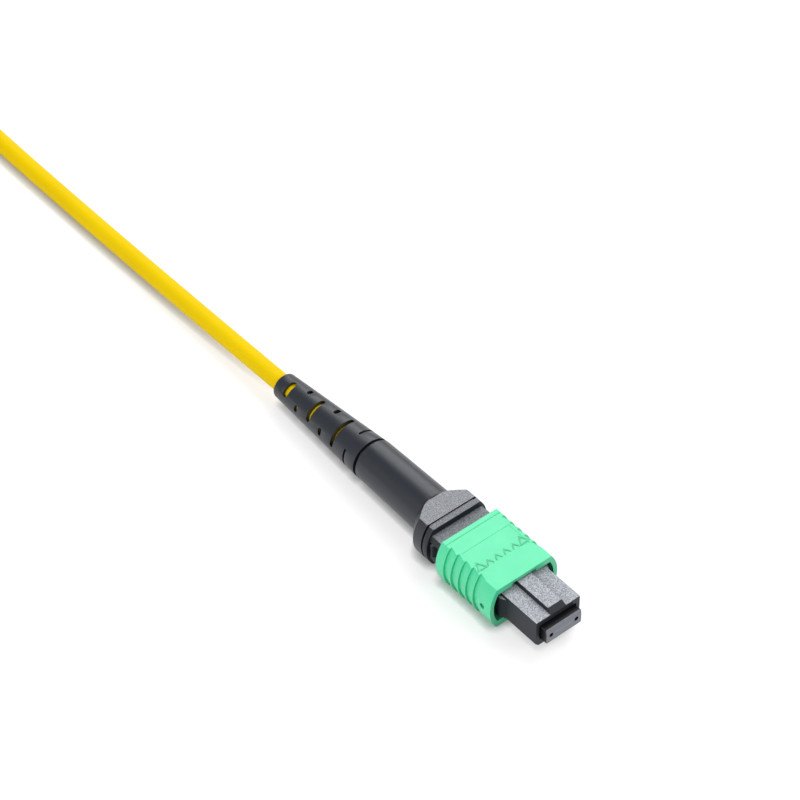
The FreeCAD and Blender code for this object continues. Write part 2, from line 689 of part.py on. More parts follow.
def spring_push():
    """The rear body: spring seat inside the housing, latch hooks in its windows, plug and crimp barrel behind."""
    body = new_body("spring_push")
    seat_section = frame(f"{WELL_WIDTH} - 3 * fit_gap", f"{WELL_HEIGHT} - 3 * fit_gap")
    pad(body, "seat", "-inner_length", SEAT, seat_section)
    hook_rear = "-inner_length + flange_length + fit_gap"
    hook_front = f"{hook_rear} + hook_length"
    hook_side = f"({BODY_WIDTH} / 2 - fit_gap)"
    pad(body, "hooks", hook_rear, hook_front, block(hook_side, "-hook_height / 2", "hook_height / 2"))
    root = f"{WELL_WIDTH} / 2"
    for name, sign in SIDES:
        ramp = [(f"{hook_front} - hook_lead", hook_side), (hook_front, root), (hook_front, hook_side)]
        sketch = draw(body, f"hook_ramp_{name}", "XY_Plane", "hook_height / 2", mirrored(sign, ramp))
        feature(body, "Pocket", f"hook_ramp_{name}", sketch, "hook_height")
    pad(body, "neck", NECK_REAR, "-inner_length", drum_section(NECK_RADIUS, f"{COLLAR_HEIGHT} - 4 * fit_gap"))
    pad(body, "plug", PLUG_REAR, NECK_REAR, drum_section(PLUG_RADIUS, PLUG_HEIGHT))
    barrel = [(BARREL_REAR, "0"), (PLUG_REAR, "0"), (PLUG_REAR, BARREL_RADIUS), (BARREL_REAR, BARREL_RADIUS)]
    turned(body, "barrel", barrel)
    channel = frame("sleeve_width + 4 * fit_gap", "sleeve_height + 4 * fit_gap")
    pocket(body, "channel", PLUG_REAR, SEAT, channel)
    bore = [(BARREL_REAR, "0"), (PLUG_REAR, "0"), (PLUG_REAR, BARREL_BORE), (BARREL_REAR, BARREL_BORE)]
    turned(body, "barrel_bore", bore, "Groove")
    return body


def aramid_yarn():
    """The cable's strength yarn, spread over the barrel under the crimp sleeve."""
    body = new_body("aramid_yarn")
    rim = [(CRIMP_FRONT, BARREL_RADIUS), (CRIMP_FRONT, YARN_RADIUS), (BARREL_REAR, YARN_RADIUS)]
    turned(body, "yarn", [(BARREL_REAR, BARREL_RADIUS)] + rim)
    return body


def crimp_sleeve():
    """The metal sleeve: wide over barrel and yarn, stepped down onto the cable's jacket."""
    body = new_body("crimp_sleeve")
    narrow = "(cable_radius + fit_gap)"
    step = f"{BARREL_REAR} - crimp_land"
    outline = [
        (CRIMP_END, narrow),
        (BARREL_REAR, narrow),
        (BARREL_REAR, YARN_RADIUS),
        (CRIMP_FRONT, YARN_RADIUS),
        (CRIMP_FRONT, CRIMP_RADIUS),
        (step, CRIMP_RADIUS),
        (f"{step} - crimp_wall", f"{narrow} + crimp_wall"),
        (CRIMP_END, f"{narrow} + crimp_wall"),
    ]
    turned(body, "sleeve", outline)
    return body


def boot(label, open_slots):
    """The strain relief: a flat-topped collar, a tapered tube and a slotted tail that droops with the cable."""
    body = new_body(label)
    collar_bend = f"{NECK_REAR} - collar_straight"
    tube_start = f"{COLLAR_END} - collar_step"
    outline = [
        (TUBE_END, "0"),
        (NECK_REAR, "0"),
        (NECK_REAR, COLLAR_RADIUS),
        (collar_bend, COLLAR_RADIUS),
        (COLLAR_END, "collar_small"),
        (tube_start, "tube_radius"),
        (TUBE_END, "tube_small"),
    ]
    turned(body, "collar_and_tube", outline)
    flat = f"{COLLAR_HEIGHT} / 2"
    collar = span(tube_start, NECK_REAR, f"-{COLLAR_RADIUS}", COLLAR_RADIUS)
    plan_pocket(body, "collar_top", flat, COLLAR_RADIUS, collar)
    plan_pocket(body, "collar_bottom", f"-{COLLAR_RADIUS}", f"-{flat}", collar)
    hang = (FreeCAD.Vector(0, 0, 1), "tail_droop")
    tail_rear, tail_front = f"{TAIL_END} - {PIVOT}", f"{TUBE_END} - {PIVOT} + ring_groove"
    tail = [
        (tail_rear, "0"),
        (tail_front, "0"),
        (tail_front, "tube_small"),
        (f"{tail_rear} + tail_round", "tail_radius"),
        (tail_rear, "tail_radius - tail_round"),
    ]
    turned(body, "tail", tail, turn=hang, pivot=PIVOT)
    room = drum_section(f"{PLUG_RADIUS} + fit_gap / 2", f"{PLUG_HEIGHT} + fit_gap")
    pocket(body, "plug_room", f"{PLUG_REAR} - fit_gap", NECK_REAR, room)
    bore, bore_end = f"{CRIMP_RADIUS} + boot_ease", f"{CRIMP_END} - fit_gap"
    turned(body, "crimp_room", [(bore_end, "0"), (PLUG_REAR, "0"), (PLUG_REAR, bore), (bore_end, bore)], "Groove")
    way_rear, way_front = f"{tail_rear} - tail_round", f"{bore_end} - {PIVOT} + tail_round"
    way = "cable_radius + cable_ease"
    corners = [(way_rear, "0"), (way_front, "0"), (way_front, way), (way_rear, way)]
    turned(body, "cable_way", corners, "Groove", turn=hang, pivot=PIVOT)
    low, high = f"{TUBE_END} - ring_groove / 2", f"{TUBE_END} + ring_groove / 2"
    floor, rim = "tube_small - ring_deep", "tube_small + ring_deep"
    turned(body, "ring_cut", [(low, floor), (high, floor), (high, rim), (low, rim)], "Groove")
    slots(body, open_slots)
    return body


def slots(body, open_slots):
    """Rings of slots from the tail's end forward: long ones above and below, pairs of short ones between."""
    turn = (FreeCAD.Vector(1, 0, 0), "slot_turn")
    floor = "slot_floor" if open_slots else "slot_shallow"
    rings = []
    for index in range(6):
        centre = f"({TAIL_END} + slot_first + {index} * slot_pitch)"
        sag = f"(({PIVOT} - {centre}) * tan(tail_droop))"
        rings.append((centre, f"(-{sag} * sin(slot_turn))", f"(-{sag} * cos(slot_turn))"))
    for index, part in ((0, "rear"), (2, "middle"), (4, "front")):
        x, y, z = rings[index]
        half = f"slot_half_{part}"
        corners = stadium(x, "slot_wide", f"{y} - {half}", f"{y} + {half}")
        plan_pocket(body, f"slot_top_{part}", f"{z} + {floor}", f"{z} + tube_radius", corners, turn)
        plan_pocket(body, f"slot_bottom_{part}", f"{z} - tube_radius", f"{z} - {floor}", corners, turn)
    if not open_slots:
        return
    for index, part in ((1, "rear"), (3, "middle"), (5, "front")):
        x, y, z = rings[index]
        inner, outer = f"window_inner_{part}", f"window_outer_{part}"
        for side, low, high in (("left", f"-{outer}", f"-{inner}"), ("right", inner, outer)):
            corners = strip(x, "slot_narrow", f"{y} + ({low})", f"{y} + ({high})")
            plan_pocket(body, f"window_{side}_{part}", f"{z} - tube_radius", f"{z} + tube_radius", corners, turn)


# ---------------------------------------------------------------- the cord

REST = "cable_radius - housing_height / 2"
NEAR_ROUTE = [
    (f"{BARREL_REAR} - fit_gap", "0"),
    ("-47.5", "-0.3"),
    ("-75", "-1.36"),
    ("-112", REST),
    ("-149", REST),
]
FAR_ROUTE = [
    ("-186.5", "-0.94"),
    ("-204", "-0.3"),
    (f"-far_mouth + {TAIL_END} - {BARREL_REAR} + fit_gap", "0"),
]


def tube(label, route, across="0"):
    """The jacketed cable along straight runs joined by tangent arcs, all in one upright plane."""
    y = size(across)
    points = [FreeCAD.Vector(size(f"{CENTRE} + ({x})"), y, size(f"{FLOOR} + ({z})")) for x, z in route]
    edges, start = [], points[0]
    for before, here, after in zip(points, points[1:], points[2:]):
        arrive, leave = here - before, after - here
        reach = 0.45 * min(arrive.Length, leave.Length)
        half_turn = arrive.getAngle(leave) / 2
        radius = reach / math.tan(half_turn)
        arrive, leave = arrive.normalize(), leave.normalize()
        first, last = here - arrive * reach, here + leave * reach
        middle = here + (leave - arrive).normalize() * (radius / math.cos(half_turn) - radius)
        edges += [Part.LineSegment(start, first).toShape(), Part.Arc(first, middle, last).toShape()]
        print(f"{label}: bend of {math.degrees(2 * half_turn):.2f} degrees, radius {radius:.0f} mm")
        start = last
    edges.append(Part.LineSegment(start, points[-1]).toShape())
    path = doc.addObject("Part::Feature", label + "_path")
    path.Shape = Part.Wire(edges)
    ring = doc.addObject("Part::Circle", label + "_ring")
    tie(ring, "Radius", "cable_radius")
    along = FreeCAD.Rotation(FreeCAD.Vector(0, 0, 1), points[1] - points[0])
    ring.Placement = FreeCAD.Placement(points[0], along)
    sweep = doc.addObject("Part::Sweep", label)
    sweep.Sections = [ring]
    sweep.Spine = (path, [f"Edge{index + 1}" for index in range(len(edges))])
    sweep.Solid = True
    doc.recompute()
    expected = math.pi * size("cable_radius") ** 2 * path.Shape.Length
    print(f"{label}: {path.Shape.Length:.2f} mm, volume {sweep.Shape.Volume:.2f}, section times length {expected:.2f}")
    return sweep


HANK_X = f"-hank_start - {HANK_OUTER} - hank_straight / 2"
HANK_Y = f"cable_radius - {HANK_OUTER} + (hank_columns - 1) * 2 * cable_radius"


def racetrack(radius):
    side = "hank_straight / 2"
    return [
        (f"-{side}", f"-{radius}", radius),
        (side, f"-{radius}"),
        (f"{side} + {radius}", "0", radius),
        (side, radius, radius),
        (f"-{side}", radius),
        (f"-{side} - {radius}", "0", radius),
    ]


def cable_hank():
    """The rest of the cable, wound to a flat racetrack ring that lies on its strap."""
    body = doc.addObject("PartDesign::Body", "cable_hank")
    seat(body, HANK_X, HANK_Y, f"hank_lift - {FLOOR}")
    feature(body, "Pad", "turns", draw(body, "turns", "XY_Plane", "0", racetrack(HANK_OUTER)), HANK_TALL)
    feature(body, "Pocket", "eye", draw(body, "eye", "XY_Plane", HANK_TALL, racetrack("hank_fold")), HANK_TALL)
    return body


def hank_strap():
    """The hook-and-loop strap round the hank's middle."""
    body = doc.addObject("PartDesign::Body", "hank_strap")
    seat(body, HANK_X, HANK_Y, f"-{FLOOR}")
    rear, front = "-strap_wide / 2", "strap_wide / 2"
    pad(body, "band", rear, front, block(f"{HANK_OUTER} + hank_lift", "0", f"{HANK_TALL} + 2 * hank_lift"))
    pocket(body, "loop", rear, front, block(HANK_OUTER, "hank_lift", f"{HANK_TALL} + hank_lift"))
    return body


def far_twin(piece, name):
    """The same piece on the connector at the cord's other end, which faces the opposite way."""
    twin = doc.addObject("Part::Feature", "far_" + name)
    twin.Shape = piece.Shape.copy()
    middle = size(f"{CENTRE} + ({TAIL_END} - far_mouth) / 2")
    half_turn = FreeCAD.Rotation(FreeCAD.Vector(0, 0, 1), 180)
    place = FreeCAD.Placement(FreeCAD.Vector(2 * middle, -size("far_shift"), 0), half_turn)
    twin.Placement = place.multiply(piece.Shape.Placement)
    return twin


# ---------------------------------------------------------------- the whole part

both_ends = [
    outer_housing(),
    inner_housing(),
    coupling_spring("left", "-"),
    coupling_spring("right", ""),
    ferrule(),
    ferrule_boot(),
    pin_keeper(),
    ferrule_spring(),
    fibre_ribbon(),
    spring_push(),
]
near_end = [fibre_ends(), epoxy_fill(), aramid_yarn(), crimp_sleeve(), boot("boot", True)]
far_boot = boot("closed_boot", False)
doc.recompute()
far_end = [far_twin(piece, piece.Name) for piece in both_ends] + [far_twin(far_boot, "boot")]
cord = [tube("cable", NEAR_ROUTE), cable_hank(), hank_strap(), tube("cable_tail", FAR_ROUTE, "-far_shift")]
pieces = both_ends + near_end + far_end + cord
doc.recompute()

failed = [thing.Name for thing in doc.Objects if {"Invalid", "Error"} & set(thing.State)]
failed += [piece.Name for piece in pieces if piece.Shape.isNull() or not piece.Shape.isValid()]
if failed:
    raise SystemExit(f"failed: {failed}")

os.makedirs("parts", exist_ok=True)
for piece in pieces:
    piece.Label = piece.Name
    piece.Shape.exportStep(f"parts/{piece.Label}.step")
print(len(pieces), "nodes")
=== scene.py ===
# %% [markdown]
# # A multi-fibre connector on its patch cord
# The moving parts and sizes are already settled in the frame. This script gives every surface its finish,
# rounds the moulded edges, draws the cord as one length of cable, and sets the camera and the light.

import json
import math

import bmesh
import bpy
from mathutils import Matrix, Vector


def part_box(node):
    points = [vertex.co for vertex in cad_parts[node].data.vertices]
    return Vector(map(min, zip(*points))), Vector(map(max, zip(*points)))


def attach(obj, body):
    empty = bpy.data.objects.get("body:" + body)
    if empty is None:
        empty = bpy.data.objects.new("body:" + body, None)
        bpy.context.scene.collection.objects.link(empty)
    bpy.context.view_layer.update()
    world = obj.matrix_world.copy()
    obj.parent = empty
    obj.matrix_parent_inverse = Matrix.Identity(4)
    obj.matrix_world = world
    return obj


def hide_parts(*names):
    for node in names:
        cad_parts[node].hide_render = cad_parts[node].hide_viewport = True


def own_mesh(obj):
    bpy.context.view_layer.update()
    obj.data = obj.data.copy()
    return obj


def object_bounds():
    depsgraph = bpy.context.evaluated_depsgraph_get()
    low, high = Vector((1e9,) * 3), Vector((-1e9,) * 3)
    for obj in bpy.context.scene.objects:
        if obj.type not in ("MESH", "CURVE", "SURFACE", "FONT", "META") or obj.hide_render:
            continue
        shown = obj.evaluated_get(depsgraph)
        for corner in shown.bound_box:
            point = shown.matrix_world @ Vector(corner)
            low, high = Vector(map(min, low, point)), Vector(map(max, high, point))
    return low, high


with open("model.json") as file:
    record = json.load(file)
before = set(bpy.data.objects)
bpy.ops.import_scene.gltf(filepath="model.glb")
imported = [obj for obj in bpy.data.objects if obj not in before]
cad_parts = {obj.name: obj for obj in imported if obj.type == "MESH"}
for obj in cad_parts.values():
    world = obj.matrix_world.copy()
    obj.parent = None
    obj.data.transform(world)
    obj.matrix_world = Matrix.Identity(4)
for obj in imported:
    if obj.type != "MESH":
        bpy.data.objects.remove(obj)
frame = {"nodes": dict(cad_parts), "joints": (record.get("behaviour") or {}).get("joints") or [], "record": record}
bpy.ops.object.select_all(action="DESELECT")
cad_box = [list(corner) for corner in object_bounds()]
nodes = frame["nodes"]
record = frame["record"]
body_of_node = {node: body for body, names in record["behaviour"]["bodies"].items() for node in names}
print("nodes in the frame:", len(nodes))

# %% [markdown]
# The connector lies on its flat underside, and its ferrule's axis runs along X. These few heights and
# places are read from the frame's own boxes, so that everything below follows the solids.

# %% Places read from the frame
MM = 0.001
SAME_SPOT = 0.001 * MM
shell_low, shell_high = (Vector(corner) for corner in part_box("outer_housing"))
ferrule_low, ferrule_high = (Vector(corner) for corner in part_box("ferrule"))
nose_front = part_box("inner_housing")[1][0]
axis_height = (ferrule_low.z + ferrule_high.z) / 2
nose_face = Vector((nose_front, 0, axis_height))
print("axis height in mm:", round(axis_height / MM, 3))

# %% [markdown]
# ## Tools for shaping
# Four small tools serve the sections below. Shading is smooth across gentle bends and broken at sharp
# edges, and the large faces then set the direction of the shading.


# %% Selecting, merging and shading
def select_only(thing):
    bpy.ops.object.select_all(action="DESELECT")
    thing.select_set(True)
    bpy.context.view_layer.objects.active = thing


def merge(thing, flat=0):
    """Join the vertices that lie on one spot, and the faces that meet at less than the flat angle."""
    select_only(thing)
    bpy.ops.object.mode_set(mode="EDIT")
    bpy.ops.mesh.select_all(action="SELECT")
    bpy.ops.mesh.remove_doubles(threshold=SAME_SPOT)
    if flat:
        bpy.ops.mesh.dissolve_limited(angle_limit=math.radians(flat))
    bpy.ops.object.mode_set(mode="OBJECT")


def finish_faces(thing, angle):
    """Smooth shading between faces that meet at less than the angle."""
    select_only(thing)
    bpy.ops.object.shade_smooth_by_angle(angle=math.radians(angle))
    thing.select_set(False)


def even_shading(thing):
    """Let the large faces set the shading, so that a small radius beside a flat doesn't cloud the flat."""
    select_only(thing)
    weights = thing.modifiers.new("even", "WEIGHTED_NORMAL")
    weights.weight = 80
    weights.keep_sharp = True
    bpy.ops.object.modifier_apply(modifier="even")
    thing.select_set(False)


# %% [markdown]
# ## Camera
# A long lens from a good distance keeps a small connector free of distortion, and the camera is rolled a
# little. It comes before the cord, because the cord's spare length has to lie outside its view.

# %% Camera
SENSOR = 36.0
LENS = 125.94
CAMERA_OFFSET = Vector((0.182256, -0.174589, 0.292484))
azimuth, elevation, roll = math.radians(51.08), math.radians(44.75), math.radians(-0.67)
toward = Vector((
    math.sin(azimuth) * math.cos(elevation), -math.cos(azimuth) * math.cos(elevation), math.sin(elevation)
))
right = Vector((math.cos(azimuth), math.sin(azimuth), 0))
up = toward.cross(right)
side_axis = right * math.cos(roll) + up * math.sin(roll)
up_axis = up * math.cos(roll) - right * math.sin(roll)
camera_place = nose_face + CAMERA_OFFSET
bpy.ops.object.camera_add(location=camera_place)
camera = bpy.context.object
camera.matrix_world = Matrix.Translation(camera_place) @ Matrix((
    (side_axis.x, up_axis.x, toward.x, 0),
    (side_axis.y, up_axis.y, toward.y, 0),
    (side_axis.z, up_axis.z, toward.z, 0),
    (0, 0, 0, 1),
))
camera.data.sensor_width = SENSOR
camera.data.lens = LENS
camera.data.clip_start = 0.01
bpy.context.scene.camera = camera
print("camera distance in mm:", round((camera_place - nose_face).length / MM, 1))

# %% [markdown]
# ## The cord
# A patch cord is one metre of 3 mm cable between two connectors. The stretch behind the boot sinks gently
# to the floor, and the rest is wound into a hank: a flat racetrack of turns, two side by side and five
# high. A NURBS spline of order 3 touches the middle of every run between its points, so the round ends take
# their points on the polygon that goes round the circle, and the curve then has just the circle's radius.

# %% Straight stretch behind the boot
CABLE = 3 * MM
cable_radius = CABLE / 2


def near(x, z):
    """A point on the middle plane, in mm from the nose's front face and above the ferrule's axis."""
    return nose_face + Vector((x * MM, 0, z * MM))


RESTING = (cable_radius - axis_height) / MM
CRIMP_END = near(-33.65, 0)
route = [CRIMP_END, near(-47.5, -0.3), near(-75, -1.36), near(-112, RESTING)]
print("the cord lies on the floor from mm:", round(route[-1].x / MM, 1))

# %% [markdown]
# Every turn of the hank has two round ends and two straight runs. Rows are counted from the floor.

# %% Ends and runs of a turn
hank_low, hank_high = (Vector(corner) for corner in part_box("cable_hank"))
middle_x, middle_y = (hank_low.x + hank_high.x) / 2, (hank_low.y + hank_high.y) / 2
outer_radius = (hank_high.y - hank_low.y) / 2 - cable_radius
inner_radius = outer_radius - CABLE
half_straight = (hank_high.x - hank_low.x) / 2 - outer_radius - cable_radius
END_POINTS = 6
ROWS = 5


def row_height(row):
    return hank_low.z + cable_radius + row * CABLE


def hank_point(x, y, row):
    return Vector((middle_x + x, middle_y + y, row_height(row)))


def round_end(side, radius, row):
    """The half circle at the far end (side -1) or the near end (side 1)."""
    step = math.pi / END_POINTS
    points = []
    for index in range(END_POINTS):
        angle = (index + 0.5) * step
        reach = radius / math.cos(step / 2)
        points.append(hank_point(
            side * (half_straight + reach * math.sin(angle)), -side * reach * math.cos(angle), row
        ))
    return points


def straight(side, radius, start_row, end_row, end_radius=None):
    """The run along the near side (side 1) or the far side (side -1), rising or sinking between its ends."""
    points = []
    for share in (0.25, 0.75):
        run = radius + ((end_radius or radius) - radius) * share
        points.append(hank_point(
            side * half_straight * (1 - 2 * share), side * run, start_row + (end_row - start_row) * share
        ))
    return points


# %% [markdown]
# The outer column is wound upwards first, each turn rising one cable's thickness along its near side. On
# the top row the cable hops to the inner column and winds down again, so it leaves the hank at the floor,
# ready to run into the other connector. A loop works out the turns.

# %% Turns of the hank
entry = Vector((middle_x + half_straight, middle_y + inner_radius, cable_radius))
route += [entry + Vector((16 * MM, 0, 0)), entry + Vector((9 * MM, 0.4 * MM, 0))]
route += [entry + Vector((1 * MM, CABLE, row_height(0) - cable_radius))]
top = ROWS - 1
for row in range(top):
    route += straight(1, outer_radius, row, row + 1)
    route += round_end(-1, outer_radius, row + 1)
    if row < top - 1:
        route += straight(-1, outer_radius, row + 1, row + 1)
        route += round_end(1, outer_radius, row + 1)
route += straight(-1, outer_radius, top, top, inner_radius) + round_end(1, inner_radius, top)
for row in range(top, 0, -1):
    route += straight(1, inner_radius, row, row) + round_end(-1, inner_radius, row)
    route += straight(-1, inner_radius, row, row - 1) + round_end(1, inner_radius, row - 1)
print("points on the route so far:", len(route))

# %% [markdown]
# From the hank the cable rises gently into the other boot, which stands one cable's thickness to the side.

# %% From the hank to the far crimp
exit_y = middle_y + inner_radius
far_y = (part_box("far_ferrule")[0][1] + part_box("far_ferrule")[1][1]) / 2
sideways = Vector((0, far_y, 0))
route.append(hank_point(half_straight / 2, inner_radius, 0))
route.append(Vector((middle_x - half_straight * 0.4, exit_y + far_y * 0.25, row_height(0) + 0.1 * MM)))
route.append(Vector((middle_x - half_straight * 1.3, exit_y + far_y * 0.8, row_height(0) + 0.4 * MM)))
route += [near(x, z) + sideways for x, z in ((-186.5, -0.94), (-204, -0.3), (-217.9, 0))]
print("points on the whole route:", len(route))

# %% [markdown]
# The line gets a round bevel, which is the simplest way to give a cable its thickness. The bare line is
# kept as a list of points too, so that the cable's length can be measured along them. Merging joins the
# tube's end caps to it.

# %% One cable from crimp to crimp
line = bpy.data.curves.new("cable_line", "CURVE")
line.dimensions = "3D"
spline = line.splines.new("NURBS")
spline.points.add(len(route) - 1)
for point, spot in zip(spline.points, route):
    point.co = (*spot, 1)
spline.order_u = 3
spline.use_endpoint_u = True
spline.resolution_u = 8
drawn = bpy.data.objects.new("cable_line", line)
bpy.context.collection.objects.link(drawn)


def mesh_of(curve_object, name):
    """The curve as it is drawn now, as a mesh."""
    bpy.context.view_layer.update()
    made = bpy.data.meshes.new_from_object(curve_object.evaluated_get(bpy.context.evaluated_depsgraph_get()))
    made.name = name
    return made


path = [vertex.co.copy() for vertex in mesh_of(drawn, "cable_path").vertices]
line.bevel_depth = cable_radius
line.bevel_resolution = 5
line.use_fill_caps = True
cable = bpy.data.objects.new("patch_cable", mesh_of(drawn, "patch_cable"))
bpy.context.collection.objects.link(cable)
bpy.data.objects.remove(drawn)
merge(cable)
finish_faces(cable, 50)
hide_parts("cable", "cable_hank", "cable_tail")
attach(cable, "connector")
length = sum((after - before).length for before, after in zip(path, path[1:]))
print("cable in mm:", round(length / MM, 1))

# %% [markdown]
# The solids have sharp edges, as drawn. Real mouldings have small radii that catch the light. A copy of the
# solid's mesh is merged, its flat faces are joined again, and a Bevel modifier rounds every edge sharper
# than the limit. Copying keeps the shape true to the solids, where modelling it again could drift from
# them.


# %% Round the edges of a moulded piece
def copy_of(node):
    """A node's solid as one clean mesh: merged, and with its flat faces joined."""
    thing = bpy.data.objects.new(node + "_moulded", nodes[node].data.copy())
    bpy.context.collection.objects.link(thing)
    thing.data.materials.clear()
    merge(thing, flat=0.5)
    return thing


def round_edges(thing, radius, segments=2, limit=35):
    """A radius in mm on every edge sharper than the limit."""
    select_only(thing)
    edges = thing.modifiers.new("edges", "BEVEL")
    edges.width = radius * MM
    edges.segments = segments
    edges.limit_method = "ANGLE"
    edges.angle_limit = math.radians(limit)
    edges.use_clamp_overlap = True
    edges.miter_outer = "MITER_SHARP"
    bpy.ops.object.modifier_apply(modifier="edges")


def stand_for(thing, node):
    """Shade the piece, and let it stand for the node in the frame."""
    finish_faces(thing, 40)
    even_shading(thing)
    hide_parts(node)
    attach(thing, body_of_node[node])
    print(thing.name, "faces:", len(thing.data.polygons))


# %% [markdown]
# ## Both connectors' mouldings
# The two ends of the cord carry the same connector, so one loop rounds the same pieces on both. The pull
# housing and the fixed housing have radii of about a tenth of a millimetre, the ferrule a smaller one.

# %% Rounded mouldings
RADII = {"outer_housing": 0.14, "inner_housing": 0.09, "spring_push": 0.08, "ferrule": 0.035}
pieces = {}
for end in ("", "far_"):
    for node, radius in RADII.items():
        thing = copy_of(end + node)
        round_edges(thing, radius)
        pieces[end + node] = thing

# %% [markdown]
# The round hole in each side of the pull housing keeps a crisp rim, so it is cut after the edges are
# rounded. A Boolean modifier takes a short cylinder away on either side.


# %% Side holes
def cut(thing, cutter):
    """Take the cutter away from the thing."""
    select_only(thing)
    hole = thing.modifiers.new("hole", "BOOLEAN")
    hole.object = cutter
    hole.operation = "DIFFERENCE"
    hole.solver = "EXACT"
    bpy.ops.object.modifier_apply(modifier="hole")
    bpy.data.objects.remove(cutter)


HOLE_RADIUS, HOLE_BACK, HOLE_DEEP = 0.45 * MM, 1.7 * MM, 1.15 * MM
for end in ("", "far_"):
    low, high = (Vector(corner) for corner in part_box(end + "outer_housing"))
    hole_x = low.x + HOLE_BACK if end else high.x - HOLE_BACK
    for y in (low.y, high.y):
        bpy.ops.mesh.primitive_cylinder_add(
            vertices=32, radius=HOLE_RADIUS, depth=2 * HOLE_DEEP,
            location=(hole_x, y, axis_height), rotation=(math.pi / 2, 0, 0),
        )
        cut(pieces[end + "outer_housing"], bpy.context.object)
for node, thing in pieces.items():
    stand_for(thing, node)

# %% [markdown]
# ## The boot
# The boot keeps the cable from kinking. Its stout front half is the solid's own, cut off in the ring
# groove. The tail behind the groove is made here: a cone along the sinking cable, bored for it, with a ring
# of slots every three millimetres. Long slots above and below take turns with pairs of short ones, so that
# rubber is left in a spiral and the tail bends evenly. The slots are turned about thirty degrees to the
# side. Boolean modifiers cut them, which suits holes that run through a wall.

# %% Front half of the boot
FRONT_HALF = 18.13 * MM
GROOVE_WIDTH = 0.12 * MM
boot_low, boot_high = (Vector(corner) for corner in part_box("boot"))
groove_wall = boot_high.x - FRONT_HALF


def select_edges(thing, wanted):
    """Select, in edit mode, the edges for which the test is true."""
    bpy.ops.mesh.select_mode(type="EDGE")
    bpy.ops.mesh.select_all(action="DESELECT")
    mesh = bmesh.from_edit_mesh(thing.data)
    for edge in mesh.edges:
        if wanted(edge):
            edge.select = True
    bmesh.update_edit_mesh(thing.data)


boot = copy_of("boot")
bpy.ops.object.mode_set(mode="EDIT")
bpy.ops.mesh.select_all(action="SELECT")
bpy.ops.mesh.bisect(
    plane_co=(groove_wall + GROOVE_WIDTH, 0, 0), plane_no=(1, 0, 0), use_fill=False, clear_inner=True
)
select_edges(boot, lambda edge: edge.is_boundary)
bpy.ops.mesh.bridge_edge_loops()
bpy.ops.object.mode_set(mode="OBJECT")
round_edges(boot, 0.1)
print("front half faces:", len(boot.data.polygons))

# %% [markdown]
# The tail's axis droops a little with the cable. The cone's rear rim gets a soft radius, and its front is
# cut off square in the ring groove, so the two halves meet there.

# %% Cone of the tail
TAIL_DROOP = math.radians(2.08)
TAIL_SMALL, TAIL_LARGE = 2.1 * MM, 3.38 * MM
REAR_RIM, RIM_REACH = 0.25 * MM, 0.3 * MM
tail_front = near(-40.55, -0.115)
tail_axis = Vector((math.cos(TAIL_DROOP), 0, math.sin(TAIL_DROOP)))
tail_length = (tail_front.x - boot_low.x) / tail_axis.x


def on_axis(x):
    """The point of the tail's axis at an x."""
    return tail_front - tail_axis * ((tail_front.x - x) / tail_axis.x)


bpy.ops.mesh.primitive_cone_add(
    vertices=96, radius1=TAIL_SMALL, radius2=TAIL_LARGE, depth=tail_length,
    location=tail_front - tail_axis * tail_length / 2, rotation=(0, math.pi / 2 - TAIL_DROOP, 0),
)
tail = bpy.context.object
tail.name = "boot_tail"
bpy.ops.object.transform_apply(location=True, rotation=True, scale=True)
bpy.ops.object.mode_set(mode="EDIT")
select_edges(tail, lambda edge: all(vertex.co.x < boot_low.x + RIM_REACH for vertex in edge.verts))
bpy.ops.mesh.bevel(offset=REAR_RIM, segments=3, affect="EDGES")
bpy.ops.mesh.select_all(action="SELECT")
bpy.ops.mesh.bisect(plane_co=(groove_wall, 0, 0), plane_no=(1, 0, 0), use_fill=True, clear_outer=True)
bpy.ops.object.mode_set(mode="OBJECT")
print("tail in mm:", round(tail_length / MM, 2))

# %% [markdown]
# A slot's cutter is a block with round ends. Six rings of them stand along the tail. The rings with long
# slots cut above and below, and the rings between cut right through on both sides. The slots grow longer as
# the tail grows thicker.

# %% Cutters for the slots
SLOT_TURN = math.radians(30)
slot_up = Vector((0, -math.sin(SLOT_TURN), math.cos(SLOT_TURN)))
slot_across = Vector((0, math.cos(SLOT_TURN), math.sin(SLOT_TURN)))


def slot_cutter(x, width, low, high, floor, top, rounding=0.45):
    """A block with round ends, in mm: across the tail from low to high, outwards from floor to top."""
    bpy.ops.mesh.primitive_cube_add(size=1, scale=(width * MM, (high - low) * MM, (top - floor) * MM))
    thing = bpy.context.object
    bpy.ops.object.transform_apply(location=True, rotation=True, scale=True)
    bpy.ops.object.mode_set(mode="EDIT")
    select_edges(thing, lambda edge: abs(edge.verts[0].co.z - edge.verts[1].co.z) > 0.1 * MM)
    bpy.ops.mesh.bevel(offset=width * rounding * MM, segments=4, affect="EDGES")
    bpy.ops.object.mode_set(mode="OBJECT")
    thing.rotation_euler = (SLOT_TURN, 0, 0)
    thing.location = on_axis(x) + slot_across * (low + high) / 2 * MM + slot_up * (floor + top) / 2 * MM
    bpy.ops.object.transform_apply(location=True, rotation=True, scale=True)
    return thing


def joined(things):
    bpy.ops.object.select_all(action="DESELECT")
    for thing in things:
        thing.select_set(True)
    bpy.context.view_layer.objects.active = things[0]
    bpy.ops.object.join()
    return things[0]


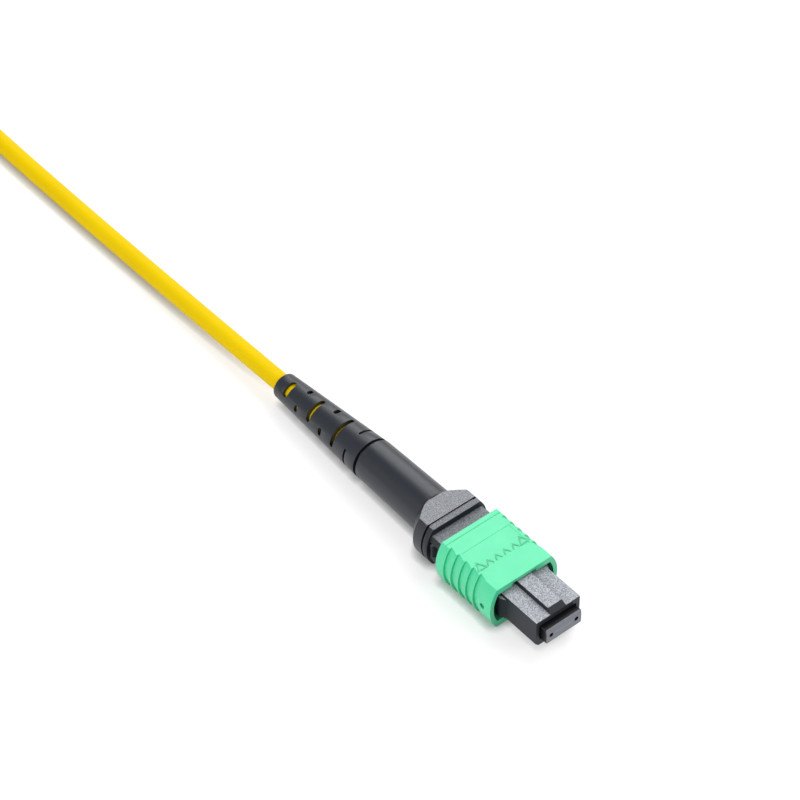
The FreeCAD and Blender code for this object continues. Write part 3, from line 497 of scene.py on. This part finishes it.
RING_FIRST, RING_PITCH = 2.75, 3.09
PAST_TAIL, SLOT_FLOOR, SHORT_ROUNDING = 4, 0.6, 0.3
LONG_SLOTS = ((1.05, 1.35), (0.8, 2.0), (0.7, 2.55))
SHORT_SLOTS = ((0.72, 1.22, 1.98), (0.72, 1.5, 2.4), (0.4, 1.45, 3.6))
cutters = []
for pair, ((width, half), (narrow, inner, outer)) in enumerate(zip(LONG_SLOTS, SHORT_SLOTS)):
    x = boot_low.x + (RING_FIRST + RING_PITCH * 2 * pair) * MM
    cutters.append(slot_cutter(x, width, -half, half, SLOT_FLOOR, PAST_TAIL))
    cutters.append(slot_cutter(x, width, -half, half, -PAST_TAIL, -SLOT_FLOOR))
    x += RING_PITCH * MM
    for low, high in ((-outer, -inner), (inner, outer)):
        cutters.append(slot_cutter(x, narrow, low, high, -PAST_TAIL, PAST_TAIL, SHORT_ROUNDING))
print("slot cutters:", len(cutters))

# %% [markdown]
# Under the boot the jacket's end is slit and turned back over the cable, which makes it thicker towards the
# crimp. It fills the bore and shows yellow through the slots. One function makes both the bore's cutter and
# the turned-back jacket, which is a little thinner, so the two fit all the way along.


# %% Bore, slots and the jacket inside
def cone_between(x_rear, x_front, radius_rear, radius_front):
    """A cone on the tail's axis, with its radii in mm."""
    rear, front = on_axis(x_rear), on_axis(x_front)
    bpy.ops.mesh.primitive_cone_add(
        vertices=64, radius1=radius_rear * MM, radius2=radius_front * MM, depth=(front - rear).length,
        location=(rear + front) / 2, rotation=(0, math.pi / 2 - TAIL_DROOP, 0),
    )
    bpy.ops.object.transform_apply(location=True, rotation=True, scale=True)
    return bpy.context.object


PAST_END = MM
BORE_REAR, BORE_FRONT = 1.68, 2.4
JACKET_REAR, JACKET_FRONT = 1.67, 2.28
CUT_EDGE = 0.05
ends = (boot_low.x - PAST_END, groove_wall + PAST_END)
cut(tail, cone_between(*ends, BORE_REAR, BORE_FRONT))
cut(tail, joined(cutters))
round_edges(tail, CUT_EDGE)
boot = joined([boot, tail])
jacket_end = cone_between(boot_low.x + 0.6 * MM, groove_wall - 0.5 * MM, JACKET_REAR, JACKET_FRONT)
jacket_end.name = "jacket_end"
cut(jacket_end, cone_between(*ends, cable_radius / MM, cable_radius / MM))
round_edges(jacket_end, CUT_EDGE)
finish_faces(jacket_end, 40)
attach(jacket_end, "connector")
stand_for(boot, "boot")
pieces["boot"] = boot

# %% [markdown]
# The other boot is the same moulding, turned half round about the cord's middle. A copy with a mesh of its
# own is turned and moved, and then its place is applied to the mesh.

# %% The far boot
far_high = Vector(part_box("far_boot")[1])


def turned_copy(thing, name):
    """The same piece at the other end of the cord, looking the other way."""
    twin = thing.copy()
    twin.data = thing.data.copy()
    twin.name = name
    bpy.context.collection.objects.link(twin)
    twin.rotation_euler = (0, 0, math.pi)
    twin.location = (boot_low.x + far_high.x, boot_low.y + far_high.y, 0)
    select_only(twin)
    bpy.ops.object.transform_apply(location=True, rotation=True, scale=True)
    return twin


far_boot = turned_copy(boot, "far_boot_moulded")
far_jacket_end = turned_copy(jacket_end, "far_jacket_end")
stand_for(far_boot, "far_boot")
pieces["far_boot"] = far_boot
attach(far_jacket_end, "connector")

# %% [markdown]
# ## Springs
# Two springs push the pull housing forwards, and one pushes the ferrule forwards. When a joint moves back,
# its springs get shorter by just as much, towards the end that is held. The frame says which pieces these
# are and where each is held, and the ribbon of fibres behind the ferrule gives way in the same manner. Here
# each of those pieces only gets a mesh of its own.

# %% Pieces that shorten with their joints
for joint in frame["joints"]:
    for piece in joint["deforming_nodes"]:
        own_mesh(nodes[piece["node"]])

# %% [markdown]
# ## Grip marks on the pull housing
# A pull housing tells the hand which way it slides. Here that is said with plain marks: an outlined
# arrowhead at each end of the row and four chevrons between them, all pointing back towards the boot. They
# stand a few hundredths of a millimetre proud, as moulded marks do. A triangle that is inset and loses its
# middle makes the outline.

# %% One arrow
MARK_RISE, MARK_ROOT = 0.05 * MM, 0.02 * MM
ARROW_RADIUS, ARROW_STROKE = 1.1 * MM, 0.2 * MM
mark_x = shell_low.x + 6.95 * MM
mark_z = shell_high.z - 0.05 * MM


def lift(thing):
    """Give a flat mark its thickness."""
    bpy.ops.mesh.select_all(action="SELECT")
    bpy.ops.mesh.extrude_region_move(TRANSFORM_OT_translate={"value": (0, 0, MARK_RISE + MARK_ROOT)})
    bpy.ops.mesh.select_all(action="SELECT")
    bpy.ops.mesh.normals_make_consistent(inside=False)
    bpy.ops.object.mode_set(mode="OBJECT")
    bpy.ops.object.transform_apply(location=True, rotation=True, scale=True)
    thing.select_set(False)


def arrow_mark(name, y):
    """An outlined arrowhead with its tip towards the boot."""
    bpy.ops.mesh.primitive_circle_add(
        vertices=3, radius=ARROW_RADIUS, fill_type="NGON", location=(mark_x, y, mark_z),
        rotation=(0, 0, math.pi / 2),
    )
    thing = bpy.context.object
    thing.name = name
    bpy.ops.object.mode_set(mode="EDIT")
    bpy.ops.mesh.select_all(action="SELECT")
    bpy.ops.mesh.inset(thickness=ARROW_STROKE)
    bpy.ops.mesh.delete(type="FACE")
    lift(thing)
    return thing


# %% [markdown]
# A chevron is a strip of two squares. Its middle is moved back, which bends the strip.

# %% One chevron
CHEVRON_WIDTH, CHEVRON_STROKE, CHEVRON_BEND = 1.0 * MM, 0.34 * MM, 0.8 * MM


def chevron_mark(name, y):
    """A bent stroke, its point towards the boot."""
    bpy.ops.mesh.primitive_grid_add(
        x_subdivisions=1, y_subdivisions=2, size=1, location=(mark_x + 0.35 * MM, y, mark_z)
    )
    thing = bpy.context.object
    thing.name = name
    for vertex in thing.data.vertices:
        at_the_bend = abs(vertex.co.y) < 0.1
        vertex.co.x *= CHEVRON_STROKE
        vertex.co.y *= CHEVRON_WIDTH
        if at_the_bend:
            vertex.co.x -= CHEVRON_BEND
    bpy.ops.object.mode_set(mode="EDIT")
    lift(thing)
    return thing


# %% [markdown]
# The row runs across the housing: an arrow at each end, and the chevrons evenly between them.

# %% The row of marks
marks = [arrow_mark("grip_arrow_left", -3.9 * MM), arrow_mark("grip_arrow_right", 3.9 * MM)]
for index in range(4):
    marks.append(chevron_mark(f"grip_chevron_{index + 1}", (index - 1.5) * 1.55 * MM))
for mark in marks:
    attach(mark, "coupling")
print("marks:", len(marks))

# %% [markdown]
# ## The strap
# A hook-and-loop strap goes round the hank's middle. A box of its size loses its two open ends, its long
# edges are bevelled to the soft corners of webbing, and Solidify gives it a thickness.

# %% Strap
STRAP_CORNER, STRAP_THICK = 2.2 * MM, 0.5 * MM
strap_low, strap_high = (Vector(corner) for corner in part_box("hank_strap"))


def block(name, low, high):
    """A box from its lowest corner to its highest."""
    bpy.ops.mesh.primitive_cube_add(size=1, location=(low + high) / 2, scale=high - low)
    thing = bpy.context.object
    thing.name = name
    bpy.ops.object.transform_apply(location=True, rotation=True, scale=True)
    return thing


band = block("strap_band", strap_low, strap_high)
bpy.ops.object.mode_set(mode="EDIT")
bpy.ops.mesh.select_mode(type="FACE")
bpy.ops.mesh.select_all(action="DESELECT")
mesh = bmesh.from_edit_mesh(band.data)
for face in mesh.faces:
    face.select = abs(face.normal.x) > 0.9
bmesh.update_edit_mesh(band.data)
bpy.ops.mesh.delete(type="FACE")
select_edges(band, lambda edge: len(edge.link_faces) == 2)
bpy.ops.mesh.bevel(offset=STRAP_CORNER, segments=5, affect="EDGES")
bpy.ops.object.mode_set(mode="OBJECT")
wall = band.modifiers.new("wall", "SOLIDIFY")
wall.thickness = STRAP_THICK
wall.offset = -1
bpy.ops.object.modifier_apply(modifier="wall")
round_edges(band, 0.12, limit=60)
finish_faces(band, 50)
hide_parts("hank_strap")
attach(band, "connector")
print("strap faces:", len(band.data.polygons))

# %% [markdown]
# The strap's end lies over its beginning on top of the hank. That overlap is a short thick layer with round
# edges, a little narrower than the band under it.

# %% Strap's overlap
tab_low = strap_low + Vector((0.1 * MM, 6 * MM, 0))
tab_high = strap_high - Vector((0.1 * MM, 8 * MM, 0))
tab_low.z = strap_high.z - 0.2 * MM
tab_high.z = strap_high.z + 0.6 * MM
tab = block("strap_overlap", tab_low, tab_high)
round_edges(tab, 0.3, 4)
finish_faces(tab, 50)
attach(tab, "connector")

# %% [markdown]
# The strap and every piece of the far connector go with the cord, because they lie where the cord does.

# %% [markdown]
# ## Finishes
# Every finish is procedural and reads Object coordinates, which are the same as the world's here because
# every piece sits at the origin. Each finish starts from a Principled shader and, mostly, from noise.


# %% A new finish and its noise
def new_finish(name, roughness, specular=0.5):
    """A material with its shader, and the coordinates that every finish starts from."""
    material = bpy.data.materials.new(name)
    material.use_nodes = True
    tree = material.node_tree
    shader = tree.nodes["Principled BSDF"]
    shader.inputs["Roughness"].default_value = roughness
    shader.inputs["Specular IOR Level"].default_value = specular
    place = tree.nodes.new("ShaderNodeTexCoord")
    return material, tree, shader, place.outputs["Object"]


def grain(tree, place, scale, detail=4.0, stretch=(1, 1, 1)):
    """Noise of a given number of features a metre."""
    mapping = tree.nodes.new("ShaderNodeMapping")
    mapping.inputs["Scale"].default_value = stretch
    noise = tree.nodes.new("ShaderNodeTexNoise")
    noise.inputs["Scale"].default_value = scale
    noise.inputs["Detail"].default_value = detail
    tree.links.new(place, mapping.inputs["Vector"])
    tree.links.new(mapping.outputs["Vector"], noise.inputs["Vector"])
    return noise.outputs["Fac"]


# %% [markdown]
# Five helpers turn noise and places into looks. They add one kind of shader node each: one coordinate of a
# vector, a colour ramp, a stretched range, a calculation and a relief.


# %% Helpers for a finish
def along(tree, vector, axis):
    """The vector's coordinate along an axis."""
    split = tree.nodes.new("ShaderNodeSeparateXYZ")
    tree.links.new(vector, split.inputs["Vector"])
    return split.outputs[axis]


def ramp(tree, source, low, high, start=0.3, end=0.7):
    """A colour that goes from low to high as the source goes from start to end."""
    node = tree.nodes.new("ShaderNodeValToRGB")
    node.color_ramp.elements[0].position = start
    node.color_ramp.elements[0].color = (*low, 1)
    node.color_ramp.elements[1].position = end
    node.color_ramp.elements[1].color = (*high, 1)
    tree.links.new(source, node.inputs["Fac"])
    return node.outputs["Color"]


def stretched(tree, source, low, high, start=0.3, end=0.7):
    """A number that goes from low to high as the source goes from start to end."""
    node = tree.nodes.new("ShaderNodeMapRange")
    for name, value in (("From Min", start), ("From Max", end), ("To Min", low), ("To Max", high)):
        node.inputs[name].default_value = value
    tree.links.new(source, node.inputs["Value"])
    return node.outputs["Result"]


def calculated(tree, operation, *sources):
    """The result of a calculation on sockets and plain numbers."""
    node = tree.nodes.new("ShaderNodeMath")
    node.operation = operation
    for socket, source in zip(node.inputs, sources):
        if isinstance(source, (int, float)):
            socket.default_value = source
        else:
            tree.links.new(source, socket)
    return node.outputs["Value"]


def bump(tree, shader, height, depth):
    """Relief of a depth in mm."""
    node = tree.nodes.new("ShaderNodeBump")
    node.inputs["Strength"].default_value = 1.0
    node.inputs["Distance"].default_value = depth * MM
    tree.links.new(height, node.inputs["Height"])
    tree.links.new(node.outputs["Normal"], shader.inputs["Normal"])


# %% [markdown]
# Moulded plastic is a Principled shader whose colour and roughness drift a little, with a fine bump. The
# pull housing is a light green plastic, smooth from a polished mould. Its marks are moulded in the same green
# and are coloured a darker green as painted shade round their raised outlines. The cord's yellow jacket is of
# the same kind, with less shine.


# %% Plain plastics
def plastic(name, low, high, roughness, drift, grain_scale, grain_depth, specular=0.5):
    """Plastic or rubber: a colour that drifts slowly, and a fine grain in its sheen and its surface."""
    material, tree, shader, place = new_finish(name, roughness, specular)
    fine = grain(tree, place, grain_scale)
    tree.links.new(ramp(tree, grain(tree, place, drift), low, high), shader.inputs["Base Color"])
    tree.links.new(stretched(tree, fine, roughness - 0.06, roughness + 0.06), shader.inputs["Roughness"])
    bump(tree, shader, fine, grain_depth)
    return material


green = plastic("green_housing", (0.067, 0.62, 0.315), (0.077, 0.655, 0.34), 0.36, 300, 5000, 0.004)
# The marks' darker green is painted shade.
mark_shade_green = plastic("green_marks_painted_shade", (0.030, 0.43, 0.21), (0.036, 0.46, 0.23), 0.4, 300, 5000, 0.003)
jacket = plastic("yellow_jacket", (0.70, 0.485, 0.0), (0.74, 0.52, 0.0), 0.55, 60, 2500, 0.006, 0.06)

# %% [markdown]
# The black pieces are filled with glass fibre. Where the mould is textured, the fibre shows as a grey
# speckle, and the other faces are smooth and black. On the level faces the speckle's pale ground is also a
# painted sheen of the soft box behind, which makes those faces lighter than the sides. So this finish needs to
# know which way a face looks and where it lies. Places are measured from the middle of the cord, so that one
# rule serves both connectors.

# %% Speckle that keeps to some faces
cord_middle = (cad_box[0][0] + cad_box[1][0]) / 2


def facing(tree, axis, start=0.8, end=0.97):
    """1 where the surface looks along the axis, either way, and 0 where it looks across it."""
    normal = tree.nodes.new("ShaderNodeNewGeometry").outputs["Normal"]
    return stretched(tree, calculated(tree, "ABSOLUTE", along(tree, normal, axis)), 0, 1, start, end)


def from_middle(tree, place):
    """Distance along X from the middle of the cord."""
    return calculated(tree, "ABSOLUTE", calculated(tree, "SUBTRACT", along(tree, place, "X"), cord_middle))


def glass_filled_painted_sheen(name, side, dark, pale, flecked_and_lit, roughness=0.5, cover=0.4, specular=0.35):
    """Black plastic whose chosen faces show flecks of glass fibre on a pale ground, which on level faces is also a
    painted sheen.
    """
    material, tree, shader, place = new_finish(name, roughness, specular)
    coarse = calculated(tree, "MULTIPLY", grain(tree, place, 5200, 2), 0.5)
    flecks = calculated(tree, "MULTIPLY", grain(tree, place, 11000, 3), 0.5)
    speckle = calculated(tree, "ADD", coarse, flecks)
    # The chosen faces get the pale speckle, which on level faces also stands for a painted sheen.
    share = flecked_and_lit(tree, place)
    mixed = tree.nodes.new("ShaderNodeMix")
    mixed.data_type = "RGBA"
    mixed.inputs["A"].default_value = (*side, 1)
    tree.links.new(share, mixed.inputs["Factor"])
    tree.links.new(ramp(tree, speckle, dark, pale, cover, cover + 0.17), mixed.inputs["B"])
    tree.links.new(mixed.outputs["Result"], shader.inputs["Base Color"])
    sheen = stretched(tree, speckle, roughness + 0.08, roughness - 0.08)
    tree.links.new(sheen, shader.inputs["Roughness"])
    bump(tree, shader, calculated(tree, "MULTIPLY", speckle, share), 0.02)
    return material


# %% [markdown]
# The fixed housing is textured above and below. Behind its nose, where the pull housing slides, the speckle is
# cut back towards black as painted shade from the pull housing and the boot's collar.

# %% Black housing
# The speckle's share behind the nose, lowered as painted shade.
PAINTED_SHADE_SHARE = 0.47


def top_and_bottom(tree, place):
    """The level faces, with less speckle behind the nose as painted shade."""
    nose_end = shell_high.x - cord_middle
    # Behind the nose the speckle's share drops: painted shade.
    painted_shade = stretched(tree, from_middle(tree, place), PAINTED_SHADE_SHARE, 1, nose_end - 2 * MM, nose_end)
    painted_shade.node.interpolation_type = "SMOOTHSTEP"
    return calculated(tree, "MULTIPLY", facing(tree, "Z"), painted_shade)


# Level faces of the housing: glass flecks on a pale ground that also paints the sheen of the back box.
black = glass_filled_painted_sheen(
    "black_housing", (0.010, 0.0125, 0.018), (0.15, 0.16, 0.185), (0.47, 0.49, 0.53),
    top_and_bottom, cover=0.42,
)

# %% [markdown]
# The ferrule is a hard black compound, and grinding its front face turns that face grey. The chamfers round
# that face are painted the same grey, as a painted highlight along its edges. The boot is satin rubber,
# smoother than the housings except on its collar's flats, whose pale speckle is also a painted sheen.

# %% Ferrule and boot
COLLAR_LENGTH = 3.6 * MM


def ground_face_and_glint(tree, place):
    """The ferrule's front face, which leans back a little, and the chamfers round it, painted grey as a highlight.
    """
    return facing(tree, "X", 0.55, 0.7)


def collar_flats(tree, place):
    """The flat faces above and below, no farther back than the collar."""
    collar_rear = boot_high.x - COLLAR_LENGTH - cord_middle
    beyond = calculated(tree, "GREATER_THAN", from_middle(tree, place), collar_rear)
    return calculated(tree, "MULTIPLY", facing(tree, "Z", 0.97, 0.995), beyond)


# The grey of the ground face also covers its chamfers, as a painted highlight along the edges.
ferrule_grey = glass_filled_painted_sheen(
    "ground_ferrule_edge_glint", (0.005, 0.0055, 0.007), (0.135, 0.145, 0.168), (0.205, 0.22, 0.25),
    ground_face_and_glint, 0.3, 0.35, 0.15,
)
# The collar's level flats: pale speckle that is also a painted sheen of the soft box behind.
boot_black = glass_filled_painted_sheen(
    "boot_rubber_black", (0.010, 0.0135, 0.021), (0.095, 0.102, 0.118), (0.27, 0.285, 0.31),
    collar_flats, 0.38, 0.44, 0.5,
)

# %% [markdown]
# Inside are the steel springs and the brass crimp sleeve. Drawn or turned metal carries fine lines, which
# come from noise that is stretched one way.


# %% Metals
def metal(name, low, high, roughness, stretch):
    """Drawn or turned metal, with its fine lines across the stretched direction."""
    material, tree, shader, place = new_finish(name, roughness)
    shader.inputs["Metallic"].default_value = 1.0
    lines = grain(tree, place, 2500, 5, stretch)
    tree.links.new(ramp(tree, lines, low, high), shader.inputs["Base Color"])
    tree.links.new(stretched(tree, lines, roughness - 0.08, roughness + 0.1), shader.inputs["Roughness"])
    bump(tree, shader, lines, 0.003)
    return material


steel = metal("spring_wire_steel", (0.50, 0.50, 0.51), (0.68, 0.68, 0.69), 0.3, (6, 1, 1))
brass = metal("crimp_metal", (0.60, 0.44, 0.20), (0.74, 0.57, 0.29), 0.34, (8, 1, 1))

# %% [markdown]
# The small inner pieces are plain plastics too: the ferrule's rubber sleeve, the keeper behind it, the
# amber glue, the polished glass ends and the pale yarn.

# %% Sleeve, keeper, glue, glass and yarn
sleeve_black = plastic("sleeve_rubber_black", (0.018, 0.018, 0.018), (0.03, 0.03, 0.03), 0.7, 600, 5000, 0.01)
keeper_black = plastic("keeper_black", (0.028, 0.028, 0.03), (0.04, 0.04, 0.043), 0.45, 600, 6000, 0.006)
amber = plastic("amber_glue", (0.42, 0.22, 0.04), (0.55, 0.31, 0.07), 0.15, 900, 3000, 0.004)
glass = plastic("fibre_glass_ends", (0.34, 0.37, 0.41), (0.42, 0.45, 0.49), 0.1, 2000, 9000, 0.001)
yarn = plastic("aramid_threads", (0.62, 0.47, 0.12), (0.80, 0.66, 0.26), 0.75, 900, 4000, 0.03)

# %% [markdown]
# The ribbon's twelve fibres lie side by side, each in the colour of its place in the row. A ramp with sharp
# steps across Y gives one stripe a fibre, and a wave gives every pair of fibres a rounded height, so that
# they read as threads. A Wave texture has ten waves in pi metres for each 1 of its scale.

# %% Ribbon
FIBRE_COLOURS = (
    (0.02, 0.12, 0.60), (0.85, 0.25, 0.02), (0.03, 0.40, 0.10), (0.22, 0.09, 0.03),
    (0.30, 0.31, 0.32), (0.85, 0.85, 0.83), (0.65, 0.02, 0.02), (0.02, 0.02, 0.02),
    (0.85, 0.70, 0.03), (0.28, 0.05, 0.40), (0.80, 0.30, 0.40), (0.08, 0.60, 0.60),
)
FIBRES = len(FIBRE_COLOURS)
WAVES_IN_PI = 10
ribbon, tree, shader, place = new_finish("ribbon_fibres", 0.25)
ribbon_low, ribbon_high = (Vector(corner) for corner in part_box("fibre_ribbon"))
stripes = tree.nodes.new("ShaderNodeValToRGB")
stripes.color_ramp.interpolation = "CONSTANT"
while len(stripes.color_ramp.elements) < FIBRES:
    stripes.color_ramp.elements.new(1.0)
for index, colour in enumerate(FIBRE_COLOURS):
    stripes.color_ramp.elements[index].position = index / FIBRES
    stripes.color_ramp.elements[index].color = (*colour, 1)
across = stretched(tree, along(tree, place, "Y"), 0, 1, ribbon_low.y, ribbon_high.y)
tree.links.new(across, stripes.inputs["Fac"])
tree.links.new(stripes.outputs["Color"], shader.inputs["Base Color"])
waves = tree.nodes.new("ShaderNodeTexWave")
waves.bands_direction = "Y"
waves.inputs["Scale"].default_value = math.pi / WAVES_IN_PI * FIBRES / 2 / (ribbon_high.y - ribbon_low.y)
tree.links.new(place, waves.inputs["Vector"])
bump(tree, shader, waves.outputs["Fac"], 0.03)

# %% [markdown]
# The strap is woven nylon. Two waves that cross, multiplied, give the small squares of a plain weave, and a
# little distortion keeps them from looking printed.

# %% Woven strap
WEAVE_SCALE = 600
webbing, tree, shader, place = new_finish("strap_webbing", 0.85, 0.2)
shader.inputs["Sheen Weight"].default_value = 0.2
crossing = []
for direction in ("X", "DIAGONAL"):
    wave = tree.nodes.new("ShaderNodeTexWave")
    wave.bands_direction = direction
    wave.inputs["Scale"].default_value = WEAVE_SCALE
    wave.inputs["Distortion"].default_value = 0.6
    tree.links.new(place, wave.inputs["Vector"])
    crossing.append(wave.outputs["Fac"])
weave = calculated(tree, "MULTIPLY", *crossing)
cloth = ramp(tree, weave, (0.012, 0.012, 0.013), (0.05, 0.05, 0.053), 0.1, 0.8)
tree.links.new(cloth, shader.inputs["Base Color"])
bump(tree, shader, weave, 0.08)

# %% [markdown]
# ## Giving each piece its finish
# The pieces that stand for a node carry its name, so one table from node to finish serves both connectors.

# %% Finishes on the pieces
FINISHES = {
    "outer_housing": green, "inner_housing": black, "spring_push": black, "boot": boot_black,
    "ferrule": ferrule_grey, "fibre_ends": glass, "epoxy_fill": amber, "ferrule_boot": sleeve_black,
    "pin_keeper": keeper_black, "fibre_ribbon": ribbon, "aramid_yarn": yarn, "crimp_sleeve": brass,
    "coupling_spring_left": steel, "coupling_spring_right": steel, "ferrule_spring": steel,
    "cable": jacket, "cable_hank": jacket, "cable_tail": jacket, "hank_strap": webbing,
}


def give(thing, material):
    thing.data.materials.clear()
    thing.data.materials.append(material)


for name, thing in [*nodes.items(), *pieces.items()]:
    give(thing, FINISHES[name.removeprefix("far_")])
# The marks get the darker green of painted shade.
for thing in marks:
    give(thing, mark_shade_green)
for thing in (cable, jacket_end, far_jacket_end):
    give(thing, jacket)
for thing in (band, tab):
    give(thing, webbing)
print("materials:", len(bpy.data.materials))

# %% [markdown]
# ## Floor and room
# The floor is pale grey paper. To the camera and in reflections a glow of its own lifts it to white, and
# ambient occlusion dims that glow in the narrow gap beside a piece that touches the floor. So the soft
# shadow ends in a dark contact line.

# %% Floor
FLOOR_GREY, FLOOR_GREY_SEEN, FLOOR_GLOW = 0.72, 0.5, 0.56
CONTACT_REACH = 1.5 * MM
bpy.ops.mesh.primitive_plane_add(size=4, location=(nose_face.x, 0, 0))
floor = bpy.context.object
floor.name = "studio_floor"
paper, tree, shader, place = new_finish("floor_paper", 0.9, 0.0)
rays = tree.nodes.new("ShaderNodeLightPath")
seen = calculated(tree, "MAXIMUM", rays.outputs["Is Camera Ray"], rays.outputs["Is Glossy Ray"])
tree.links.new(stretched(tree, seen, FLOOR_GREY, FLOOR_GREY_SEEN, 0, 1), shader.inputs["Base Color"])
contact = tree.nodes.new("ShaderNodeAmbientOcclusion")
contact.inputs["Distance"].default_value = CONTACT_REACH
lit = calculated(tree, "POWER", contact.outputs["AO"], 2.0)
glow = calculated(tree, "MULTIPLY", seen, calculated(tree, "MULTIPLY", lit, FLOOR_GLOW))
shader.inputs["Emission Color"].default_value = (1, 1, 1, 1)
tree.links.new(glow, shader.inputs["Emission Strength"])
give(floor, paper)

# %% [markdown]
# The room is an even white, at full strength where the camera sees it and weaker as a light.

# %% Room
ROOM_LIGHT, ROOM_SEEN = 0.45, 1.0
world = bpy.data.worlds.new("studio_room")
bpy.context.scene.world = world
world.use_nodes = True
tree = world.node_tree
room = tree.nodes["Background"]
room.inputs["Color"].default_value = (1, 1, 1, 1)
rays = tree.nodes.new("ShaderNodeLightPath")
seen = calculated(tree, "MAXIMUM", rays.outputs["Is Camera Ray"], rays.outputs["Is Transmission Ray"])
tree.links.new(stretched(tree, seen, ROOM_LIGHT, ROOM_SEEN, 0, 1), room.inputs["Strength"])

# %% [markdown]
# ## Light
# The light is that of a product table: a wide soft box behind and above the connector, whose reflection
# pales the tops of the dark plastics, weaker ones above and to the right, and one in front.

# %% Soft boxes
connector_middle = Vector((0, 0, axis_height))


def soft_box(name, direction, distance, width, depth, power):
    """An area light that faces the connector, its sizes in metres and its power in watts."""
    spot = connector_middle + direction.normalized() * distance
    bpy.ops.object.light_add(type="AREA", location=spot)
    lamp = bpy.context.object
    lamp.name = name
    lamp.data.shape = "RECTANGLE"
    lamp.data.size = width
    lamp.data.size_y = depth
    lamp.data.energy = power
    lamp.rotation_euler = (connector_middle - spot).to_track_quat("-Z", "Y").to_euler()


soft_box("back_box", Vector((-toward.x, -toward.y, toward.z)) + right * 0.3, 0.8, 0.9, 0.7, 6.0)
soft_box("top_box", Vector((0.1, 0.3, 1)), 0.9, 0.9, 0.9, 0.5)
soft_box("right_box", Vector((0.70, 0.45, 0.55)), 0.9, 0.5, 0.5, 2.0)
soft_box("front_box", toward - right * 0.9, 0.9, 0.6, 0.6, 4.6)

# %% [markdown]
# Everything is in place. The view shows the colours as they are written.

# %% Colour view
bpy.context.scene.view_settings.view_transform = "Standard"
bpy.context.view_layer.update()
